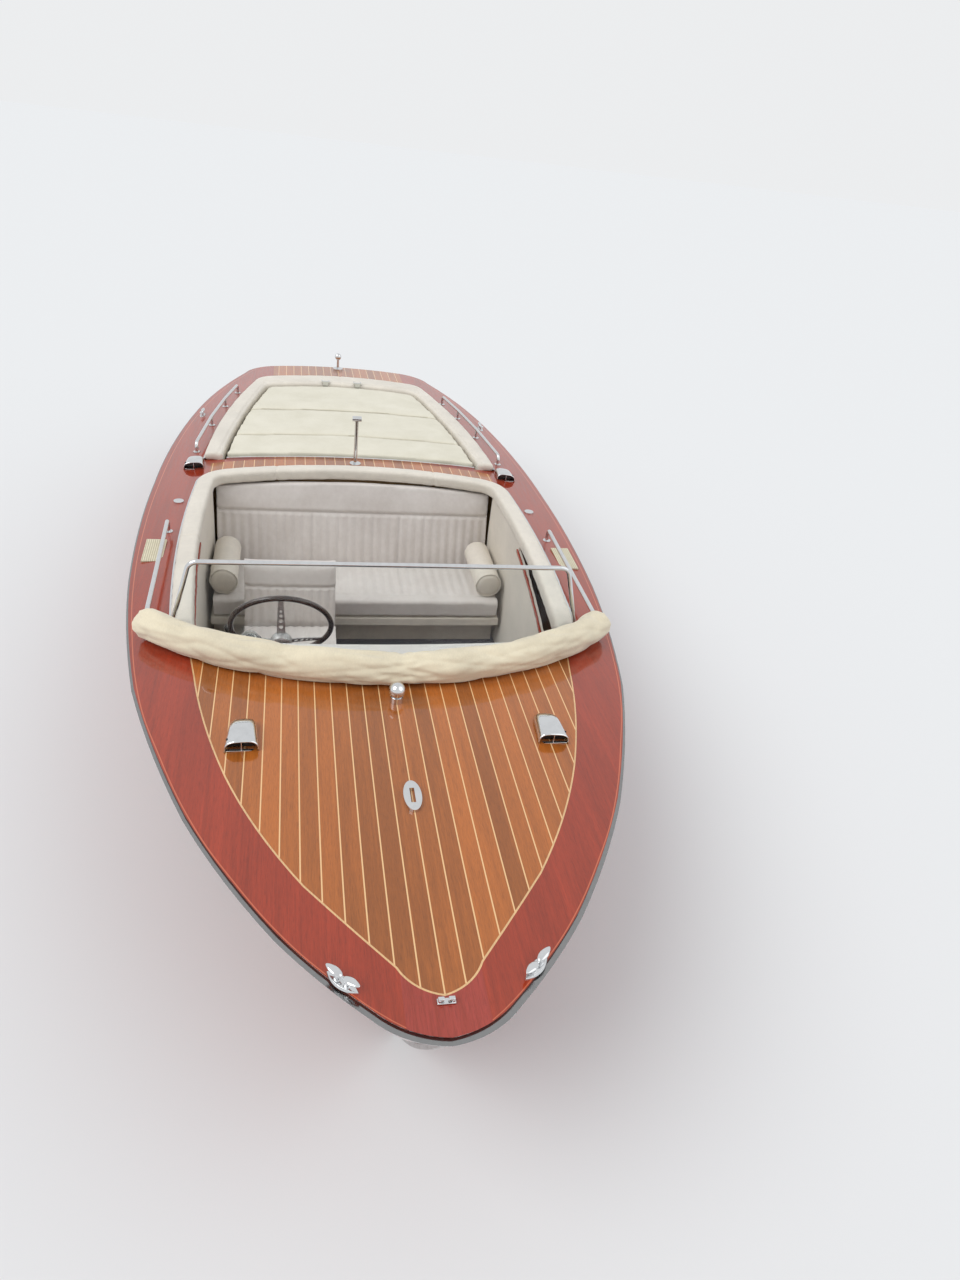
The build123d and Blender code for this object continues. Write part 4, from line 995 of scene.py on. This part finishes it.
def make_cleats():
    bm = bmesh.new()
    for x, y, turn in CLEATS:
        foot = bmesh.ops.create_circle(bm, cap_ends=True, segments=40, radius=1.0)["verts"]
        for vert in foot:
            along = vert.co.x
            vert.co = (0.050 * along, math.copysign(0.017 * (1 - along * along), vert.co.y), 0)
        grown = bmesh.ops.extrude_face_region(bm, geom=list({f for v in foot for f in v.link_faces}))["geom"]
        lifted = verts_of(grown)
        bmesh.ops.scale(bm, vec=(0.93, 0.80, 1), verts=lifted)
        bmesh.ops.translate(bm, vec=(0, 0, 0.006), verts=lifted)
        made = foot + lifted
        for side in (-1, 1):
            post = bmesh.ops.create_cone(
                bm, cap_ends=True, segments=20, radius1=0.009, radius2=0.006, depth=0.022)["verts"]
            bmesh.ops.translate(bm, vec=(side * 0.016, 0, 0.014), verts=post)
            horn = bmesh.ops.create_uvsphere(bm, u_segments=24, v_segments=16, radius=1.0)["verts"]
            for vert in horn:
                along, across, up = vert.co.z, vert.co.x, vert.co.y
                slim = 1.0 - 0.35 * along if along > 0 else 1.0
                lift = 0.027 + 0.0055 * up * slim + 0.003 * along
                vert.co = (side * (0.026 + 0.0245 * along), 0.0115 * across * slim, lift)
            made += post + horn
        spin = Matrix.Rotation(math.radians(turn), 4, "Z")
        bmesh.ops.transform(bm, matrix=Matrix.Translation((x, y, deck_height(x, y))) @ spin, verts=made)
    fitted(bm, "leaf_cleats", "chrome", replaces="cleats", edge=0.0012)


# Timber battens along the side pockets
def panel_half(x):
    fore = x - 0.35
    return 0.828 - 0.02265 * fore - 0.05643 * fore * fore - 0.068


def make_battens():
    bm = bmesh.new()
    for side in (-1, 1):
        add_box(bm, (0.555, side * 0.1, 0), (0.79, 0.009, 0.017))
    long_edges = [e for e in bm.edges if e.calc_length() > 0.5]
    bmesh.ops.subdivide_edges(bm, edges=long_edges, cuts=24, use_grid_fill=True)
    for vert in bm.verts:
        side = math.copysign(1.0, vert.co.y)
        vert.co.z += 0.700 - 0.0985 * (vert.co.x - 0.176)
        vert.co.y += side * (panel_half(vert.co.x) - 0.0052 - 0.1)
    fitted(bm, "pocket_battens", "fascia", edge=0.002)


# Round faces on the bench arms
def make_arm_faces():
    faces = bmesh.new()
    welts = bmesh.new()
    for side in (-1, 1):
        centre = (0.014, side * 0.672, 0.4135)
        disc = [
            (0.0, 0.014), (0.020, 0.0135), (0.040, 0.0115), (0.054, 0.008), (0.0615, 0.002), (0.063, -0.004),
            (0.0, -0.004),
        ]
        spun(faces, disc, centre, (1, 0, 0), (0, 0, 1))
        turns = [math.tau * k / 10 for k in range(11)]
        loop = [(0.0655 + 0.0034 * math.cos(a), 0.0015 + 0.0034 * math.sin(a)) for a in turns]
        spun(welts, loop, centre, (1, 0, 0), (0, 0, 1))
    fitted(faces, "bench_arm_faces", "cream")
    fitted(welts, "bench_arm_welts", "cream")


# Settings of the runabout; the panel shows its five colours
class RunaboutSettings(bpy.types.PropertyGroup):
    mahogany: bpy.props.FloatVectorProperty(
        name="Mahogany", description="Colour of the varnished red timber", subtype="COLOR", size=3,
        default=(0.400, 0.044, 0.014), min=0, max=1)
    planking: bpy.props.FloatVectorProperty(
        name="Planking", description="Colour of the golden deck planks", subtype="COLOR", size=3,
        default=(0.470, 0.135, 0.022), min=0, max=1)
    seam: bpy.props.FloatVectorProperty(
        name="Seam", description="Colour of the pale seams", subtype="COLOR", size=3,
        default=(0.80, 0.50, 0.24), min=0, max=1)
    upholstery: bpy.props.FloatVectorProperty(
        name="Upholstery", description="Colour of the cream coaming roll", subtype="COLOR", size=3,
        default=(0.76, 0.70, 0.605), min=0, max=1)
    canvas: bpy.props.FloatVectorProperty(
        name="Canvas", description="Colour of the rolled hood", subtype="COLOR", size=3,
        default=(0.78, 0.69, 0.51), min=0, max=1)
    camera_place: bpy.props.FloatVectorProperty(
        name="Camera place", description="Where the camera stands", subtype="TRANSLATION", unit="LENGTH", size=3,
        default=(3.979, -0.348, 2.711))
    camera_yaw: bpy.props.FloatProperty(
        name="Camera yaw", description="Heading of the view", subtype="ANGLE", default=2.8905)
    camera_pitch: bpy.props.FloatProperty(
        name="Camera pitch", description="How far the view looks down", subtype="ANGLE", default=0.5736)
    camera_roll: bpy.props.FloatProperty(
        name="Camera roll", description="Tilt of the view", subtype="ANGLE", default=0.1380)
    floor_size: bpy.props.FloatProperty(
        name="Floor size", description="Side of the plain floor", unit="LENGTH", default=60.0, min=10.0)


class RUNABOUT_OT_finishes(bpy.types.Operator):
    """Gives every carried piece its timber, metal or fabric"""

    bl_idname = "runabout.finishes"
    bl_label = "Apply Finishes"

    def execute(self, context):
        build_finishes(context.scene.runabout)
        for finish, names in NODE_FINISH.items():
            for name in names:
                dress(NODES[name], finish)
        return {"FINISHED"}


class RUNABOUT_OT_coamings(bpy.types.Operator):
    """Pads the rims of the cockpit and the sunpad"""

    bl_idname = "runabout.coamings"
    bl_label = "Make Coaming Rolls"

    def execute(self, context):
        make_coaming_rolls()
        return {"FINISHED"}


class RUNABOUT_OT_sunpad(bpy.types.Operator):
    """Fills the three cushions on the engine hatch"""

    bl_idname = "runabout.sunpad"
    bl_label = "Make Sunpad Cushions"

    def execute(self, context):
        make_sunpad_cushions()
        return {"FINISHED"}


class RUNABOUT_OT_bench(bpy.types.Operator):
    """Makes the aft bench, its pleated back and its round arms"""

    bl_idname = "runabout.bench"
    bl_label = "Make Bench"

    def execute(self, context):
        make_bench()
        make_armrests()
        return {"FINISHED"}


class RUNABOUT_OT_helm_seat(bpy.types.Operator):
    """Makes the pleated seat at the wheel"""

    bl_idname = "runabout.helm_seat"
    bl_label = "Make Helm Seat"

    def execute(self, context):
        make_helm_seat()
        return {"FINISHED"}


class RUNABOUT_OT_hood(bpy.types.Operator):
    """Rolls the canvas hood in front of the screen"""

    bl_idname = "runabout.hood"
    bl_label = "Make Hood Roll"

    def execute(self, context):
        make_hood_roll()
        return {"FINISHED"}


class RUNABOUT_OT_wheel(bpy.types.Operator):
    """Makes the drilled spokes and the boss of the steering wheel"""

    bl_idname = "runabout.wheel"
    bl_label = "Make Wheel Spokes"

    def execute(self, context):
        make_wheel_spokes()
        return {"FINISHED"}


class RUNABOUT_OT_fittings(bpy.types.Operator):
    """Makes the air scoops, the cleats, the bow chock, the battens and the arm faces"""

    bl_idname = "runabout.fittings"
    bl_label = "Make Small Fittings"

    def execute(self, context):
        make_scoops()
        make_chock()
        make_cleats()
        make_battens()
        make_arm_faces()
        return {"FINISHED"}


class RUNABOUT_OT_dash(bpy.types.Operator):
    """Makes the curved dash with its panel, the wheel column and the compass"""

    bl_idname = "runabout.dash"
    bl_label = "Make Dash"

    def execute(self, context):
        make_dash()
        make_compass()
        return {"FINISHED"}


class RUNABOUT_OT_stage(bpy.types.Operator):
    """Sets the camera, the floor at the waterline and the soft light"""

    bl_idname = "runabout.stage"
    bl_label = "Set Stage"

    def execute(self, context):
        settings = context.scene.runabout
        place_camera(context, settings)
        lay_floor(settings.floor_size)
        light_world(context)
        return {"FINISHED"}


def place_camera(context, settings):
    yaw, pitch, roll = settings.camera_yaw, settings.camera_pitch, settings.camera_roll
    look = Vector((math.cos(yaw) * math.cos(pitch), math.sin(yaw) * math.cos(pitch), -math.sin(pitch)))
    level = Vector((math.sin(yaw), -math.cos(yaw), 0))
    lift = level.cross(look)
    right = math.cos(roll) * level + math.sin(roll) * lift
    up = -math.sin(roll) * level + math.cos(roll) * lift
    data = bpy.data.cameras.new("Camera")
    data.sensor_fit = "VERTICAL"
    data.sensor_height = SENSOR
    data.lens = SENSOR * FOCAL_PIXELS / PHOTO_HEIGHT
    camera = bpy.data.objects.new("Camera", data)
    context.scene.collection.objects.link(camera)
    turn = Matrix((right, up, -look)).transposed().to_4x4()
    camera.matrix_world = Matrix.Translation(Vector(settings.camera_place)) @ turn
    context.scene.camera = camera


def mix_shaders(tree, factor, one, two, output):
    mix = put(tree, "ShaderNodeMixShader")
    for source, socket in zip((factor, one.outputs[0], two.outputs[0]), mix.inputs):
        join(tree, source, socket)
    join(tree, mix.outputs[0], output.inputs[0])


def lay_floor(size):
    bm = bmesh.new()
    bmesh.ops.create_grid(bm, x_segments=1, y_segments=1, size=size / 2)
    floor = object_of(bm, "Floor")
    material = bpy.data.materials.new("Pale Floor")
    material.use_nodes = True
    tree = material.node_tree
    tree.nodes.clear()
    output = put(tree, "ShaderNodeOutputMaterial")
    paper = put(tree, "ShaderNodeBsdfDiffuse")
    paper.inputs[0].default_value = (0.74, 0.74, 0.735, 1)
    clear = put(tree, "ShaderNodeBsdfTransparent")
    back = put(tree, "ShaderNodeNewGeometry").outputs["Backfacing"]
    mix_shaders(tree, back, paper, clear, output)
    floor.data.materials.append(material)


def light_world(context):
    scene = context.scene
    scene.view_settings.view_transform = "Standard"
    world = bpy.data.worlds.new("Studio")
    scene.world = world
    world.use_nodes = True
    tree = world.node_tree
    tree.nodes.clear()
    output = put(tree, "ShaderNodeOutputWorld")
    seen = put(tree, "ShaderNodeBackground")
    seen.inputs[0].default_value = (0.84, 0.85, 0.86, 1)
    seen.inputs[1].default_value = 1.0
    fill = put(tree, "ShaderNodeBackground")
    fill.inputs[0].default_value = (0.93, 0.96, 1.0, 1)
    fill.inputs[1].default_value = 0.80
    path = put(tree, "ShaderNodeLightPath").outputs
    bent = calc(tree, "MAXIMUM", path["Is Glossy Ray"], path["Is Transmission Ray"])
    direct = calc(tree, "MAXIMUM", path["Is Camera Ray"], bent)
    mix_shaders(tree, direct, fill, seen, output)
    lamps = [("Key", (1.5, -5.0, 6.0), 1.25, 0.7), ("Fill", (2.5, 5.5, 5.0), 0.45, 1.0)]
    for name, place, strength, spread in lamps:
        data = bpy.data.lights.new(name, "SUN")
        data.energy = strength
        data.angle = spread
        lamp = bpy.data.objects.new(name, data)
        scene.collection.objects.link(lamp)
        lamp.location = place
        lamp.rotation_euler = (-Vector(place)).to_track_quat("-Z", "Y").to_euler()


class RUNABOUT_PT_panel(bpy.types.Panel):
    """Lists the steps that dress the runabout"""

    bl_label = "Runabout"
    bl_idname = "RUNABOUT_PT_panel"
    bl_space_type = "VIEW_3D"
    bl_region_type = "UI"
    bl_category = "Runabout"

    def draw(self, context):
        settings = context.scene.runabout
        for name in ("mahogany", "planking", "seam", "upholstery", "canvas"):
            self.layout.prop(settings, name)
        for operator in OPERATORS:
            self.layout.operator(operator.bl_idname)


OPERATORS = [
    RUNABOUT_OT_finishes, RUNABOUT_OT_coamings, RUNABOUT_OT_sunpad, RUNABOUT_OT_bench,
    RUNABOUT_OT_helm_seat, RUNABOUT_OT_hood, RUNABOUT_OT_wheel, RUNABOUT_OT_fittings, RUNABOUT_OT_dash,
    RUNABOUT_OT_stage,
]
CLASSES = [RunaboutSettings, *OPERATORS, RUNABOUT_PT_panel]


def register():
    for item in CLASSES:
        bpy.utils.register_class(item)
    bpy.types.Scene.runabout = bpy.props.PointerProperty(type=RunaboutSettings)


def unregister():
    del bpy.types.Scene.runabout
    for item in reversed(CLASSES):
        bpy.utils.unregister_class(item)


def main():
    register()
    bpy.ops.runabout.finishes()
    bpy.ops.runabout.coamings()
    bpy.ops.runabout.sunpad()
    bpy.ops.runabout.bench()
    bpy.ops.runabout.helm_seat()
    bpy.ops.runabout.hood()
    bpy.ops.runabout.wheel()
    bpy.ops.runabout.fittings()
    bpy.ops.runabout.dash()
    bpy.ops.runabout.stage()


if __name__ == "__main__":
    main()
